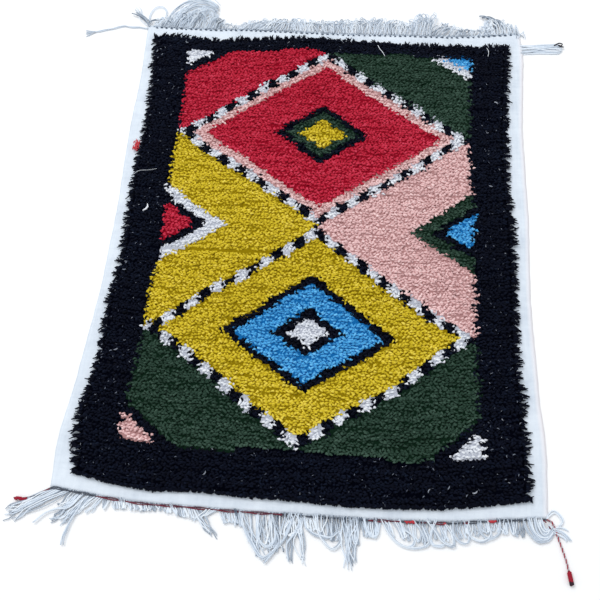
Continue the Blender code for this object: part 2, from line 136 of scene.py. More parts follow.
TIE_ROUTE = route_of(
    -501.4, 627.5, -510, 629, -521, 631, -544, 631, -565, 635,
    -578, 632, -605, 623, -628, 616, -646, 612,
)
TIE_DIAMETER = 0.0055
TIE_TWIST = 0.090
TIE_YARN = 0.00135
TIE_POINTS = 60
BRUSH_HAIRS = 22
BRUSH_LENGTH = 0.029
BRUSH_SPREAD = 0.013
BRUSH_ROOT = 0.0012
BRUSH_OVERLAP = 0.002
BRUSH_CURL = 0.002
BRUSH_LIFT = 0.001
BRUSH_SAG = 0.0018
BRUSH_HAIR = 0.00070
HAIR_POINTS = 7
FUZZ_GRAIN = 900
FUZZ_RELIEF = 0.0004


def linear(colour):
    """A colour as a screen shows it, from 0 to 255, as the shader's own values."""
    return [((c / 255 + 0.055) / 1.055) ** 2.4 for c in colour] + [1]


def shader_node(finish, kind, values=(), feeds=(), **settings):
    """A new shader node, with values for some inputs, outputs that feed others, and settings."""
    node = finish.node_tree.nodes.new("ShaderNode" + kind)
    for name, value in settings.items():
        setattr(node, name, value)
    for name, value in dict(values).items():
        node.inputs[name].default_value = value
    for name, output in dict(feeds).items():
        finish.node_tree.links.new(output, node.inputs[name])
    return node


def dress(finish, shader, tone, colours, height, strength, relief):
    """Give a shader its colour, from stops along a tone, and its fine relief."""
    ramp = shader_node(finish, "ValToRGB", feeds={"Fac": tone})
    (first, first_colour), *between, (last, last_colour) = colours
    ramp.color_ramp.elements[0].position = first
    ramp.color_ramp.elements[0].color = linear(first_colour)
    ramp.color_ramp.elements[1].position = last
    ramp.color_ramp.elements[1].color = linear(last_colour)
    for position, colour in between:
        ramp.color_ramp.elements.new(position).color = linear(colour)
    finish.node_tree.links.new(ramp.outputs["Color"], shader.inputs["Base Color"])
    values = {"Strength": strength, "Distance": relief}
    bump = shader_node(finish, "Bump", values, {"Height": height})
    finish.node_tree.links.new(bump.outputs["Normal"], shader.inputs["Normal"])
    return ramp.outputs["Color"]


def fibre(name, shaded_colour, body, crest):
    """Matt fibre with painted shade in its hollows and a painted highlight on its crests, with a
    fine fuzz.
    """
    finish, shader = matt_finish(name, 0.95, 0.12)
    place = {"Vector": shader_node(finish, "TexCoord").outputs["Object"]}
    values = {"Scale": FUZZ_GRAIN, "Detail": 2}
    fuzz = shader_node(finish, "TexNoise", values, place).outputs["Fac"]
    height = shader_node(finish, "Attribute", attribute_name="crest").outputs["Fac"]
    feeds = {0: fuzz, 2: height}
    tone = shader_node(finish, "Math", {1: 0.30}, feeds, operation="MULTIPLY_ADD")
    # The colour runs from painted shade through the fibre's own colour to a painted highlight
    colours = ((0.15, shaded_colour), (0.65, body), (1, crest))
    dress(finish, shader, tone.outputs["Value"], colours, fuzz, 0.6, FUZZ_RELIEF)
    return finish


def curve_through(route, height, count):
    """Points evenly along a smooth line through a route's own places, moved into the frame."""
    points = np.array([(x, y, height) for x, y in route]) + np.array(RUG)
    gone = np.append(0, np.cumsum(np.linalg.norm(np.diff(points, axis=0), axis=1)))
    slopes = np.gradient(points, gone, axis=0)
    at = np.linspace(0, gone[-1], count)
    i = np.clip(np.searchsorted(gone, at, "right") - 1, 0, len(points) - 2)
    span = (gone[i + 1] - gone[i])[:, None]
    t = (at - gone[i])[:, None] / span
    return (
        points[i] * (2 * t**3 - 3 * t**2 + 1)
        + slopes[i] * span * (t**3 - 2 * t**2 + t)
        + points[i + 1] * (3 * t**2 - 2 * t**3)
        + slopes[i + 1] * span * (t**3 - t**2)
    )


def end_of(line):
    """A line's last place, the way on from there and the way across it."""
    out = (line[-1] - line[-4]) / np.linalg.norm(line[-1] - line[-4])
    return line[-1], out, np.cross((0, 0, 1), out)


def plied(line, plies, offset, pitch):
    """The middle lines of yarns twisted together round a line."""
    ahead = np.gradient(line, axis=0)
    side = np.cross((0, 0, 1), ahead)
    side /= np.linalg.norm(side, axis=1, keepdims=True)
    rise = np.cross(ahead, side)
    rise /= np.linalg.norm(rise, axis=1, keepdims=True)
    gone = np.append(0, np.cumsum(np.linalg.norm(np.diff(line, axis=0), axis=1)))
    turns = [2 * math.pi * (gone / pitch + k / plies) for k in range(plies)]
    return [line + offset * (side.T * np.cos(a) + rise.T * np.sin(a)).T for a in turns]


def sweep(centres, radii, flank=(0, 0, 1), sides=5):
    """Closed tubes through their centres, an array of tube, step and place, as points and faces."""
    centres, radii = np.asarray(centres, float), np.asarray(radii, float)
    ahead = np.gradient(centres, axis=1)
    ahead /= np.linalg.norm(ahead, axis=2, keepdims=True)
    first = np.cross(flank, ahead)
    first /= np.linalg.norm(first, axis=2, keepdims=True)
    second = np.cross(ahead, first)
    turns = (np.arange(sides) + 0.5) * 2 * math.pi / sides
    ring = first[:, :, None] * np.cos(turns)[:, None] + second[:, :, None] * np.sin(turns)[:, None]
    points = centres[:, :, None] + ring * radii[:, :, None, None]
    number = np.arange(points.size // 3).reshape(points.shape[:3])
    beside = np.roll(number, -1, axis=2)
    walls = np.stack([number[:, :-1], beside[:, :-1], beside[:, 1:], number[:, 1:]], axis=-1)
    faces = walls.reshape(-1, 4).tolist() + number[:, 0, ::-1].tolist() + number[:, -1].tolist()
    return points.reshape(-1, 3), faces


def add_piece(name, shapes, finishes, crests):
    """One smooth mesh of several swept shapes, each with its own finish and crest values."""
    mesh = bpy.data.meshes.new(name)
    points = np.concatenate([shape[0] for shape in shapes])
    starts = np.cumsum([0, *(len(shape[0]) for shape in shapes)])
    faces = [[i + start for i in face] for shape, start in zip(shapes, starts) for face in shape[1]]
    mesh.from_pydata(points, [], faces)
    for finish in finishes:
        mesh.materials.append(finish)
    if len(finishes) > 1:
        owners = np.repeat(np.arange(len(shapes)), [len(shape[1]) for shape in shapes])
        mesh.polygons.foreach_set("material_index", owners)
    mesh.shade_smooth()
    heights = mesh.attributes.new("crest", "FLOAT", "POINT")
    spread = [np.broadcast_to(c, len(shape[0])) for c, shape in zip(crests, shapes)]
    heights.data.foreach_set("value", np.concatenate(spread).astype(np.float32))
    return add_object(name, mesh)


cotton_yarn = fibre("cotton_yarn", (92, 106, 124), (222, 233, 245), (246, 251, 255))
tie_line = curve_through(TIE_ROUTE, TIE_DIAMETER / 2, TIE_POINTS)
tie_plies = plied(tie_line, 2, TIE_YARN, TIE_TWIST)
tie_radii = np.full((2, TIE_POINTS), TIE_YARN)
left_tie = add_piece("left_tie_yarns", [sweep(tie_plies, tie_radii)], [cotton_yarn], [0.45])

chance = random.Random("brush")
tie_end, out, across = end_of(tie_line)
hairs = []
for _ in range(BRUSH_HAIRS):
    fan, reach = chance.uniform(-1, 1), BRUSH_LENGTH * chance.uniform(0.7, 1)
    curl, lift = BRUSH_CURL * chance.uniform(-1, 1), BRUSH_LIFT * chance.uniform(-1, 1)
    hair = []
    for share in np.linspace(0, 1, HAIR_POINTS):
        aside = fan * (BRUSH_ROOT + BRUSH_SPREAD * share**1.4) + curl * math.sin(4 * share)
        hair.append(tie_end + out * (reach * share - BRUSH_OVERLAP) + across * aside)
        hair[-1][2] += lift * (1 - share) - BRUSH_SAG * share**2
    hairs.append(hair)
brush_radii = np.tile(np.linspace(1.3, 0.6, HAIR_POINTS) * BRUSH_HAIR, (BRUSH_HAIRS, 1))
brush = add_piece("left_tie_hairs", [sweep(hairs, brush_radii)], [cotton_yarn], [0.35])
for piece, node in ((left_tie, "left_tie"), (brush, "left_tie_brush")):
    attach(piece, "root")
    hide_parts(node)


# The cord end at the near right corner: the red yarn of the twining and a pale one, twisted
# together past the last warp and bound with red yarn so that they can't fray.
CORD_ROUTE = (
    (0.4964, -0.6430),
    (0.5025, -0.6440),
    (0.5070, -0.6476),
    (0.5098, -0.6535),
    (0.5130, -0.6640),
    (0.5170, -0.6780),
    (0.5215, -0.6920),
    (0.5262, -0.7080),
    (0.5300, -0.7230),
    (0.5325, -0.7380),
)
CORD_HEIGHT = 0.0025
CORD_DIAMETER = 0.0042
CORD_YARN = 0.00108
CORD_TWIST = 0.0105
CORD_POINTS = 110
WRAP_LENGTH = 0.0265
WRAP_TURNS = 9
WRAP_RADIUS = 0.0029
WRAP_YARN = 0.0018
WRAP_HEIGHT = 0.0048
CORE_POINTS = 9

red_yarn = fibre("red_yarn", (84, 34, 44), (172, 70, 82), (214, 124, 130))
pale_yarn = fibre("pale_yarn", (105, 96, 104), (190, 178, 184), (226, 220, 225))
bound_yarn = fibre("bound_yarn", (58, 24, 34), (160, 38, 56), (196, 66, 84))
dark_yarn = fibre("dark_yarn", (24, 24, 32), (62, 44, 54), (100, 78, 88))

cord_line = curve_through(CORD_ROUTE, CORD_HEIGHT, CORD_POINTS)
cord_plies = plied(cord_line, 2, CORD_DIAMETER / 2 - CORD_YARN, CORD_TWIST)
cord_radii = np.full((1, CORD_POINTS), CORD_YARN)
corner_cord = add_piece(
    "corner_cord_plies",
    [sweep([ply], cord_radii) for ply in cord_plies],
    [red_yarn, pale_yarn],
    [0.45, 0.45],
)
cord_end, out, across = end_of(cord_line)


def wrap(start, end, turns, radius, yarn):
    """A yarn wound tightly round the cord's end, from one share of the binding to another."""
    steps = round(turns * 12)
    share = np.linspace(start, end, steps)
    turn = np.linspace(0, 2 * math.pi * turns, steps)
    centres = cord_end + out * (share[:, None] * WRAP_LENGTH)
    centres[:, 2] = WRAP_HEIGHT
    centres += across * (radius * np.cos(turn))[:, None]
    centres[:, 2] += radius * np.sin(turn)
    return sweep([centres], np.full((1, steps), yarn), flank=out, sides=6)


core_steps = np.linspace(-0.01, 0.985, CORE_POINTS)
core = cord_end + out * (core_steps[:, None] * WRAP_LENGTH)
core[:, 2] = WRAP_HEIGHT
core_radii = WRAP_RADIUS * 1.35 * np.sin(np.pi * np.linspace(0.12, 0.93, CORE_POINTS)) ** 0.4
knot = add_piece(
    "corner_cord_binding",
    [
        sweep([core], [core_radii], sides=10),
        wrap(0.08, 0.74, WRAP_TURNS * 0.7, WRAP_RADIUS, WRAP_YARN),
        wrap(0.74, 0.95, WRAP_TURNS * 0.3, WRAP_RADIUS * 0.95, WRAP_YARN),
    ],
    [bound_yarn, bound_yarn, dark_yarn],
    [0.2, 0.5, 0.4],
)
for piece, node, slot in (
    (corner_cord, "corner_cord", "twining_yarn"),
    (knot, "corner_cord_knot", "knot_yarn"),
):
    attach(piece, "root")
    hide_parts(node)


# The cloth: plain-woven cotton, warp and weft of the same white yarn, beaten close. It carries the
# knots and shows all round them as a flat margin that ripples a little along its sides.
EDGE_PLACES = 400
SHEET_THICKNESS = 0.0016
MARGIN_SHARE = 0.075
MARGIN_STEPS = 13
MIDDLE_STEPS = 10
CLOTH_ROWS = 190
PUCKER = 0.0005
EDGE_WAVE = 0.0008
RIB = 0.0024
CORNER_HEIGHT = 0.0045
CORNER_ROOM = (0.060, 0.040)
ROUND_CORNER = 0.022
# The right selvage is painted a little warmer and paler than the rest: painted light that lifts the
# shade of its rounded edge
SELVAGE_WIDTH = 0.011
SELVAGE_LIGHT_COLOUR = (241, 238, 241)


class Edges:
    """The four edges of a frame node, found by looking at it from each side."""

    def __init__(self, node, heights, inset=0.0):
        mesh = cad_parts[node].data
        places = [v.co for v in mesh.vertices]
        self.tree = BVHTree.FromPolygons(places, [p.vertices for p in mesh.polygons])
        low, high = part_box(node)
        self.middle, self.size = (low + high) / 2, high - low
        self.heights, self.inset = heights, inset
        self.feet = [place for place in places if place.z < CORNER_HEIGHT]
        self.left, self.right = self.seen_from(0, -1), self.seen_from(0, 1)
        self.near, self.far = self.seen_from(1, -1), self.seen_from(1, 1)

    def corner(self, sides):
        """The outermost place at one corner."""
        outermost = max(self.feet, key=lambda p: p.x * sides[0] + p.y * sides[1])
        return outermost.xy + self.inset * Vector(sides)

    def seen_from(self, axis, side):
        """Places along one edge and how far out it lies there, from one corner to the other."""
        other = 1 - axis
        half = self.size[other] / 2 - CORNER_ROOM[axis]
        places = np.linspace(-half, half, EDGE_PLACES) + self.middle[other]
        way, start = Vector((0, 0, 0)), Vector((0, 0, 0))
        way[axis] = -side
        start[axis] = self.middle[axis] + side * self.size[axis]
        offsets = []
        for place in places:
            start[other] = place
            hits = []
            for start.z in self.heights:
                hit = self.tree.ray_cast(start, way)[0]
                if hit is not None:
                    hits.append(hit[axis] + side * self.inset)
            offsets.append(max(hits, key=lambda h: h * side))
        ends = [self.corner((side, end) if axis == 0 else (end, side)) for end in (-1, 1)]
        places = [ends[0][other], *places, ends[1][other]]
        even = np.linspace(places[0], places[-1], EDGE_PLACES)
        return even, np.interp(even, places, [ends[0][axis], *offsets, ends[1][axis]])

    def at(self, across, along):
        """The place at shares of the node's width and of its length."""
        y = self.middle.y + (along - 0.5) * self.size.y
        left, right = np.interp(y, *self.left), np.interp(y, *self.right)
        x = left + (right - left) * across
        near, far = np.interp(x, *self.near), np.interp(x, *self.far)
        return x, near + (far - near) * along

    def top(self, x, y):
        """The height of the node's top at a place, or at its nearest point where it has none."""
        hit = self.tree.ray_cast(Vector((x, y, 1)), Vector((0, 0, -1)))[0]
        if hit is None:
            hit = self.tree.find_nearest(Vector((x, y, 0.02)))[0]
        return hit.z


def waves(x, y, seed):
    """A slow smooth unevenness, from -1 to 1, the same each time."""
    draw = random.Random(seed)
    total = 0
    for _ in range(5):
        fx, fy, shift = draw.uniform(-14, 14), draw.uniform(-14, 14), draw.uniform(0, 6.28)
        total = total + np.sin(fx * x * 2.2 + fy * y * 2.2 + shift)
    return total / 5


cloth = Edges("ground_cloth", (0.0006, 0.0012, 0.0022, 0.0032))
# The far right corner is rounded off, in the far edge's own array
far_x, far_y = cloth.far
beyond = np.clip((far_x - far_x[-1]) / ROUND_CORNER + 1, 0, 1)
far_y -= ROUND_CORNER * (1 - np.sqrt(1 - beyond**2)) * 0.8
margin = [MARGIN_SHARE * i / MARGIN_STEPS for i in range(MARGIN_STEPS)]
middle_share = 1 - 2 * MARGIN_SHARE
middle = [MARGIN_SHARE + middle_share * i / MIDDLE_STEPS for i in range(MIDDLE_STEPS + 1)]
columns = np.array([*margin, *middle, *(1 - share for share in reversed(margin))])
cloth_bm = bmesh.new()
bmesh.ops.create_grid(
    cloth_bm, x_segments=len(columns) - 1, y_segments=CLOTH_ROWS - 1, size=0.5
)
for vertex in cloth_bm.verts:
    share = columns[round((vertex.co.x + 0.5) * (len(columns) - 1))]
    along = vertex.co.y + 0.5
    x, y = cloth.at(share, along)
    rim = max(0, 1 - min(share, 1 - share) / MARGIN_SHARE)
    x += EDGE_WAVE * rim * float(waves(x * 4, y * 6, "edge")) * (1 if share > 0.5 else -1)
    rise = cloth.top(x, y) + PUCKER * rim * float(waves(x * 3, y * 9, "pucker"))
    vertex.co = (x, y, max(rise, SHEET_THICKNESS + 0.0001))
cloth_mesh = bpy.data.meshes.new("cotton_cloth")
cloth_bm.to_mesh(cloth_mesh)
cloth_bm.free()
cloth_mesh.shade_smooth()
selvage = cloth_mesh.attributes.new("selvage", "FLOAT", "POINT")
for vertex in cloth_mesh.vertices:
    inside = float(np.interp(vertex.co.y, *cloth.right)) - vertex.co.x
    selvage.data[vertex.index].value = max(0, 1 - inside / SELVAGE_WIDTH)
cotton_cloth = add_object("cotton_cloth", cloth_mesh)
thickness = cotton_cloth.modifiers.new("Thickness", "SOLIDIFY")
thickness.thickness = SHEET_THICKNESS
thickness.offset = -1

cloth_finish, cloth_shader = matt_finish("plain_cotton", 0.92, 0.15)
cloth_place = {"Vector": shader_node(cloth_finish, "TexCoord").outputs["Object"]}
threads = {}
for i, (direction, pitch) in enumerate((("X", RIB), ("Y", RIB * 0.7))):
    values = {"Scale": 0.314 / pitch, "Distortion": 0.6, "Detail": 1, "Detail Scale": 2}
    thread = shader_node(cloth_finish, "TexWave", values, cloth_place, bands_direction=direction)
    threads[i] = thread.outputs["Fac"]
weave = shader_node(cloth_finish, "Math", feeds=threads, operation="MULTIPLY").outputs["Value"]
values = {"Scale": 14, "Detail": 6, "Roughness": 0.65}
tone = shader_node(cloth_finish, "TexNoise", values, cloth_place).outputs["Fac"]
feeds = {0: weave, 2: tone}
tone = shader_node(cloth_finish, "Math", {1: 0.28}, feeds, operation="MULTIPLY_ADD")
# Fine streaks along the warps, and faint streaks across them that paint the light and shade of
# shallow creases
for stretch in ((160, 9, 1), (10, 110, 1)):
    streaks = shader_node(cloth_finish, "Mapping", {"Scale": stretch}, cloth_place)
    feeds = {"Vector": streaks.outputs["Vector"]}
    streak = shader_node(cloth_finish, "TexNoise", {"Scale": 1, "Detail": 3}, feeds)
    feeds = {0: streak.outputs["Fac"], 2: tone.outputs["Value"]}
    tone = shader_node(cloth_finish, "Math", {1: 0.30}, feeds, operation="MULTIPLY_ADD")
colours = ((0.50, (198, 209, 222)), (1, (230, 239, 248)))
plain = dress(cloth_finish, cloth_shader, tone.outputs["Value"], colours, weave, 0.5, 0.0005)
# The selvage's painted light colour lies over the plain one
selvage_light_mark = shader_node(cloth_finish, "Attribute", attribute_name="selvage").outputs["Fac"]
feeds = {0: selvage_light_mark, 6: plain}
values = {7: linear(SELVAGE_LIGHT_COLOUR)}
cloth_colour = shader_node(cloth_finish, "Mix", values, feeds, data_type="RGBA").outputs[2]
cloth_finish.node_tree.links.new(cloth_colour, cloth_shader.inputs["Base Color"])
cloth_mesh.materials.append(cloth_finish)
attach(cotton_cloth, "root")
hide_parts("ground_cloth")


# The pattern, knot by knot: rows of big stepped lozenges inside a plain black border, each colour
# tied in as the weaver goes, so that its edges step and wander by a knot or two.
WOOLS = ("black", "red", "pink", "yellow", "green", "white", "blue")
BLACK, RED, PINK, YELLOW, GREEN, WHITE, BLUE = range(len(WOOLS))
KNOT_COLUMNS = 108
ENDS_IN_KNOT = 2
KNOT_ROWS = 138
BORDER_LEFT, BORDER_RIGHT = 0.088, 0.084
BORDER_NEAR, BORDER_FAR = 0.095, 0.042
STEP_LENGTH = 0.026
DOTTED_RING = 0.895
# How far the pattern stops short of the pile's outer edges, both sides together
PATTERN_ROOM = (0.024, 0.012)
PATTERN_WANDER = (0.004, 0.007)
ROW_SHIFT = 0.0016
# Each lozenge's centre, with the field from -1 to 1 each way, and its rings: how far out each ends,
# and its wool
LOZENGES = (
    (
        (0, -0.5),
        ((0.13, WHITE), (0.22, BLACK), (0.45, BLUE), (0.53, BLACK), (0.90, YELLOW), (1, BLACK)),
    ),
    (
        (0, 0.5),
        ((0.16, YELLOW), (0.25, GREEN), (0.32, BLACK), (0.80, RED), (0.90, PINK), (1, BLACK)),
    ),
    ((-1, 0), ((0.20, RED), (0.28, BLACK), (0.40, WHITE), (1, YELLOW))),
    ((1, 0), ((0.18, BLUE), (0.26, BLACK), (0.40, GREEN), (1, PINK))),
    ((-1, -1), ((0.22, PINK), (0.32, BLACK), (1, GREEN))),
    ((1, -1), ((0.20, WHITE), (0.30, BLACK), (1, GREEN))),
    ((-1, 1), ((0.20, WHITE), (0.30, BLACK), (1, RED))),
    ((1, 1), ((0.20, BLUE), (0.30, WHITE), (1, GREEN))),
)

pile = Edges("wool_pile", (0.0026,), inset=0.005)


def lozenge(u, v, centre, bands, wool):
    """Knots in rings round a centre, out to the lozenge's edge, where the last ring ends."""
    ring = np.abs(u - centre[0]) + np.abs(v - centre[1]) * 2
    inside = ring < 1
    for reach, colour in reversed(bands):
        wool = np.where(inside & (ring < reach), colour, wool)
    return wool


def knot_colours():
    """The wool of every knot, by its row and column."""
    rows, columns = np.mgrid[0:KNOT_ROWS, 0:KNOT_COLUMNS]
    width, length = pile.size.x - PATTERN_ROOM[0], pile.size.y - PATTERN_ROOM[1]
    x = (columns + 0.5) / KNOT_COLUMNS * width
    y = (rows + 0.5) / KNOT_ROWS * length
    draw = np.random.default_rng(5)
    x = x + PATTERN_WANDER[0] * waves(x, y * 1.5, "across")
    x += draw.normal(0, ROW_SHIFT, KNOT_ROWS)[:, None]
    y = y + PATTERN_WANDER[1] * waves(x, y, "along")
    u = (x - BORDER_LEFT) / (width - BORDER_LEFT - BORDER_RIGHT) * 2 - 1
    v = (y - BORDER_NEAR) / (length - BORDER_NEAR - BORDER_FAR) * 2 - 1
    steps = np.floor(x / STEP_LENGTH) % 2
    teeth = np.where(steps > 0, WHITE, BLACK)

    wool = np.full(u.shape, GREEN)
    for centre, bands in LOZENGES:
        wool = lozenge(u, v, centre, bands, wool)

    for middle in (-0.5, 0.5):
        ring = np.abs(u) + np.abs(v - middle) * 2
        wool = np.where((ring > DOTTED_RING) & (ring < 1), teeth, wool)
    border = (np.abs(u) > 1) | (np.abs(v) > 1)
    return np.where(border, BLACK, wool), border


knots, border = knot_colours()


# The pile: a symmetric knot of thick soft wool round each pair of warps, cut 15 to 20 mm high. The
# ends splay and curl, so they show as short pale strokes with dark gaps between the rows.
ENDS_APART = 0.23
RUN_LENGTH = 9
SUNK_SHARE = 0.28
SUNK_DEPTH = 0.0022
TUFT_RADIUS = 0.0030
TUFT_LENGTH = (0.0074, 0.0116)
TUFT_DEPTH = 0.0062
TIP_SPREAD = 0.0009
LEAST_HEIGHT = 0.0150
# The share of the width at each side where only the rim's locks lie
SIDE_SHARE = 0.012
# The tufts of one row part here, over part of the width, along a crease
PARTING_ROW = -0.070
PARTING_REACH = (-0.385, -0.035)
PARTING_HALF_WIDTH = 0.006
PARTING_DEPTH = 0.0022
# Each wool's colours: its painted shade, its own colour and its painted highlight
WOOL_COLOURS = {
    "black": ((2, 4, 14), (6, 11, 27), (17, 26, 44)),
    "red": ((136, 12, 32), (194, 40, 64), (220, 74, 100)),
    "pink": ((172, 130, 129), (230, 189, 188), (250, 220, 218)),
    "yellow": ((138, 116, 10), (215, 191, 44), (243, 222, 94)),
    "green": ((15, 34, 23), (44, 67, 55), (74, 98, 85)),
    "white": ((178, 182, 193), (228, 232, 239), (246, 249, 252)),
    "blue": ((22, 100, 162), (76, 166, 224), (124, 208, 254)),
}

draw = np.random.default_rng(11)
knots = knots.repeat(ENDS_IN_KNOT, axis=1)
border = border.repeat(ENDS_IN_KNOT, axis=1)
rows, columns = np.indices(knots.shape)
across = (columns + 0.5 + draw.uniform(-0.45, 0.45, rows.shape)) / knots.shape[1]
across = SIDE_SHARE + (1 - 2 * SIDE_SHARE) * across
flips = draw.integers(0, 2, KNOT_ROWS)[:, None]
end_side = np.where((columns + flips) % 2, 1.0, -1.0)
along = (rows + 0.5 + ENDS_APART * end_side + draw.uniform(-0.11, 0.11, rows.shape)) / KNOT_ROWS
knot_x, knot_y = pile.at(across, along)
heights = [pile.top(x, y) for x, y in zip(knot_x.flat, knot_y.flat)]
knot_top = np.maximum(np.array(heights).reshape(rows.shape), LEAST_HEIGHT)

padded_knots = np.pad(knots, 1, mode="edge")
unlike_left = padded_knots[1:-1, :-2] != knots
unlike_right = padded_knots[1:-1, 2:] != knots
unlike_near = padded_knots[:-2, 1:-1] != knots
unlike_far = padded_knots[2:, 1:-1] != knots
lean_x = np.where(columns % 2, 1.0, -1.0) * draw.uniform(0.5, 1.2, rows.shape)
lean_y = draw.normal(-0.06, 0.22, rows.shape) + 0.9 * waves(knot_x * 1.2, knot_y * 7, "rows")
lean_y[:2] = np.maximum(lean_y[:2], -0.1)
runs = (columns + draw.integers(0, RUN_LENGTH, KNOT_ROWS)[:, None]) // RUN_LENGTH
sunk = (draw.random((KNOT_ROWS, runs.max() + 1)) < SUNK_SHARE)[rows, runs] & (end_side > 0)
lean_x += 0.5 * (unlike_left * 1.0 - unlike_right)
lean_y += 0.35 * (unlike_near * 1.0 - unlike_far)
from_parting = knot_y - RUG.y - PARTING_ROW
parted = (
    (np.abs(from_parting) < PARTING_HALF_WIDTH)
    & (knot_x - RUG.x > PARTING_REACH[0])
    & (knot_x - RUG.x < PARTING_REACH[1])
)
lean_y = np.where(parted, np.sign(from_parting) * 2.4, lean_y)
lean_x = np.where(parted, lean_x * 0.35, lean_x)
# Painted shade on knots whose far or side neighbour is another colour, and a painted highlight on
# those whose near neighbour is
edge_shade_and_light = unlike_far * 1.6 + (unlike_left | unlike_right) * 0.6 - unlike_near * 1.2
shade = 0.09 * waves(knot_x * 2, knot_y * 2, "shade") + draw.normal(0, 0.10, rows.shape)
# Sunk tufts also sit lower and are painted darker: painted shade
shade -= 0.30 * sunk


def tufts(x, y, top, lean, length, radius, depth, tip_drop, seed):
    """Cut ends of wool: each rises from its knot, leans and curls over, and narrows at its tip."""
    draw = np.random.default_rng(seed)
    lean = lean / np.linalg.norm(lean, axis=1, keepdims=True)
    aside = np.stack([-lean[:, 1], lean[:, 0]], axis=1)
    curl = draw.normal(0, 0.20, len(x))
    reach = np.array([0, 0.45, 1.0])
    rise = np.array([0, 1.0, 1.0])
    bend = np.array([0, 0.1, 1.0])
    width = np.array([0.80, 1.12, 0.45])
    flat = (
        lean[:, None] * (reach * length[:, None])[:, :, None]
        + aside[:, None] * (bend * (curl * length)[:, None])[:, :, None]
    )
    base = (top - depth)[:, None]
    climb = rise * depth[:, None] - bend * tip_drop[:, None]
    centres = np.concatenate([flat, (base + climb)[:, :, None]], axis=2)
    centres[:, :, 0] += x[:, None]
    centres[:, :, 1] += y[:, None]
    flank = np.concatenate([aside, np.zeros((len(x), 1))], axis=1)[:, None]
    return sweep(centres, width * radius[:, None], flank=flank, sides=4)


def tuft_crests(shade):
    """How pale each point of a tuft is: painted shade, darkest at its knot, and a painted highlight,
    palest where it curls over, added to the tone and shade given for each tuft.
    """
    light_along_tuft = np.array([0.16, 0.48, 0.56])
    return (light_along_tuft + shade[:, None]).repeat(4, axis=1).reshape(-1)


count = rows.size
length = draw.uniform(*TUFT_LENGTH, count)
radius = TUFT_RADIUS * draw.uniform(0.85, 1.12, count)
top = knot_top.ravel() - 0.8 * radius + draw.normal(0, TIP_SPREAD, count)
top = top - PARTING_DEPTH * (parted & (np.abs(from_parting) < PARTING_HALF_WIDTH / 2)).ravel()
top = top - SUNK_DEPTH * sunk.ravel()
depth = np.full(count, TUFT_DEPTH)
lean = np.stack([lean_x.ravel(), lean_y.ravel()], axis=1)
tip_drop = np.abs(draw.normal(0.0012, 0.0008, count))
tuft_shapes = (knot_x.ravel(), knot_y.ravel(), top, lean, length, radius, depth, tip_drop)
finishes = {wool: fibre(f"{wool}_wool", *WOOL_COLOURS[wool]) for wool in WOOLS}
groups = [(wool, (knots == i) & ~border) for i, wool in enumerate(WOOLS)]
groups.append(("black", border))
for order, (wool, chosen) in enumerate(groups):
    pick = np.flatnonzero(chosen)
    name = f"{wool}_{'border' if order == len(WOOLS) else 'field'}_pile"
    shape = tufts(*(values[pick] for values in tuft_shapes), order)
    crests = tuft_crests(shade.ravel()[pick] - 0.10 * edge_shade_and_light.ravel()[pick])
    piece = add_piece(name, [shape], [finishes[wool]], [crests])
    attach(piece, "root")


# The foot of the pile: the knots themselves and the wool close above them, seen only as dark gaps
# between the tufts and at the pile's rim. It is one low slab, coloured knot by knot with each wool's
# darkest colour, painted shade.
FOOT_DROP = 0.0038
FOOT_BOTTOM = 0.0042
FOOT_INSET = 0.004

foot_bm = bmesh.new()
bmesh.ops.create_grid(foot_bm, x_segments=KNOT_COLUMNS, y_segments=KNOT_ROWS, size=0.5)
for vertex in foot_bm.verts:
    foot_across = SIDE_SHARE + (1 - 2 * SIDE_SHARE) * (vertex.co.x + 0.5)
    foot_along = FOOT_INSET + (1 - 2 * FOOT_INSET) * (vertex.co.y + 0.5)
    x, y = pile.at(foot_across, foot_along)
    vertex.co = (x, y, max(pile.top(x, y), LEAST_HEIGHT) - FOOT_DROP)
rim_edges = [e for e in foot_bm.edges if e.is_boundary]
walls = bmesh.ops.extrude_edge_only(foot_bm, edges=rim_edges)["geom"]
for vertex in (g for g in walls if isinstance(g, bmesh.types.BMVert)):
    vertex.co.z = FOOT_BOTTOM
bmesh.ops.edgeloop_fill(foot_bm, edges=[e for e in foot_bm.edges if e.is_boundary])
bmesh.ops.recalc_face_normals(foot_bm, faces=foot_bm.faces)
foot_mesh = bpy.data.meshes.new("pile_foot")
foot_bm.to_mesh(foot_mesh)
foot_bm.free()
foot_mesh.shade_smooth()
# Each wool's darkest colour: painted shade on the foot
shaded_tints = [linear(WOOL_COLOURS[wool][0]) for wool in WOOLS]
shaded_tint = foot_mesh.attributes.new("wool", "FLOAT_COLOR", "FACE")
for face in foot_mesh.polygons:
    row = np.abs(knot_y[:, KNOT_COLUMNS] - face.center.y).argmin()
    column = np.abs(knot_x[row] - face.center.x).argmin()
    shaded_tint.data[face.index].color = shaded_tints[knots[row, column]]
foot_finish, foot_shader = matt_finish("pile_foot", 1, 0)
foot_shaded_tint = shader_node(foot_finish, "Attribute", attribute_name="wool").outputs["Color"]
foot_finish.node_tree.links.new(foot_shaded_tint, foot_shader.inputs["Base Color"])
foot_mesh.materials.append(foot_finish)
pile_foot = add_object("pile_foot", foot_mesh)
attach(pile_foot, "root")
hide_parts("wool_pile")


# The locks at the pile's rim: the outermost black ends, with nothing beside them to hold them up,
# which fall outwards over the cotton in pointed clumps, short at the near end and long elsewhere.
LOCK_PITCH = 0.0032
LOCK_LAYERS = 2
LOCK_CLUMP = 0.0120
LOCK_REACH = {"near": (0.0022, 0.0036), "far": (0.012, 0.020), "side": (-0.006, 0.013)}
LOCK_WIDTH = {"near": 0.0062, "far": 0.0040, "side": 0.0042}
LOCK_INWARDS = {"near": (0.003, 0.007), "far": (0.003, 0.007), "side": (0.012, 0.016)}
LOCK_FOOT = 0.0040
LOCK_TOP = (0.0085, 0.0130)
LOCK_DROP = (0.003, 0.006)

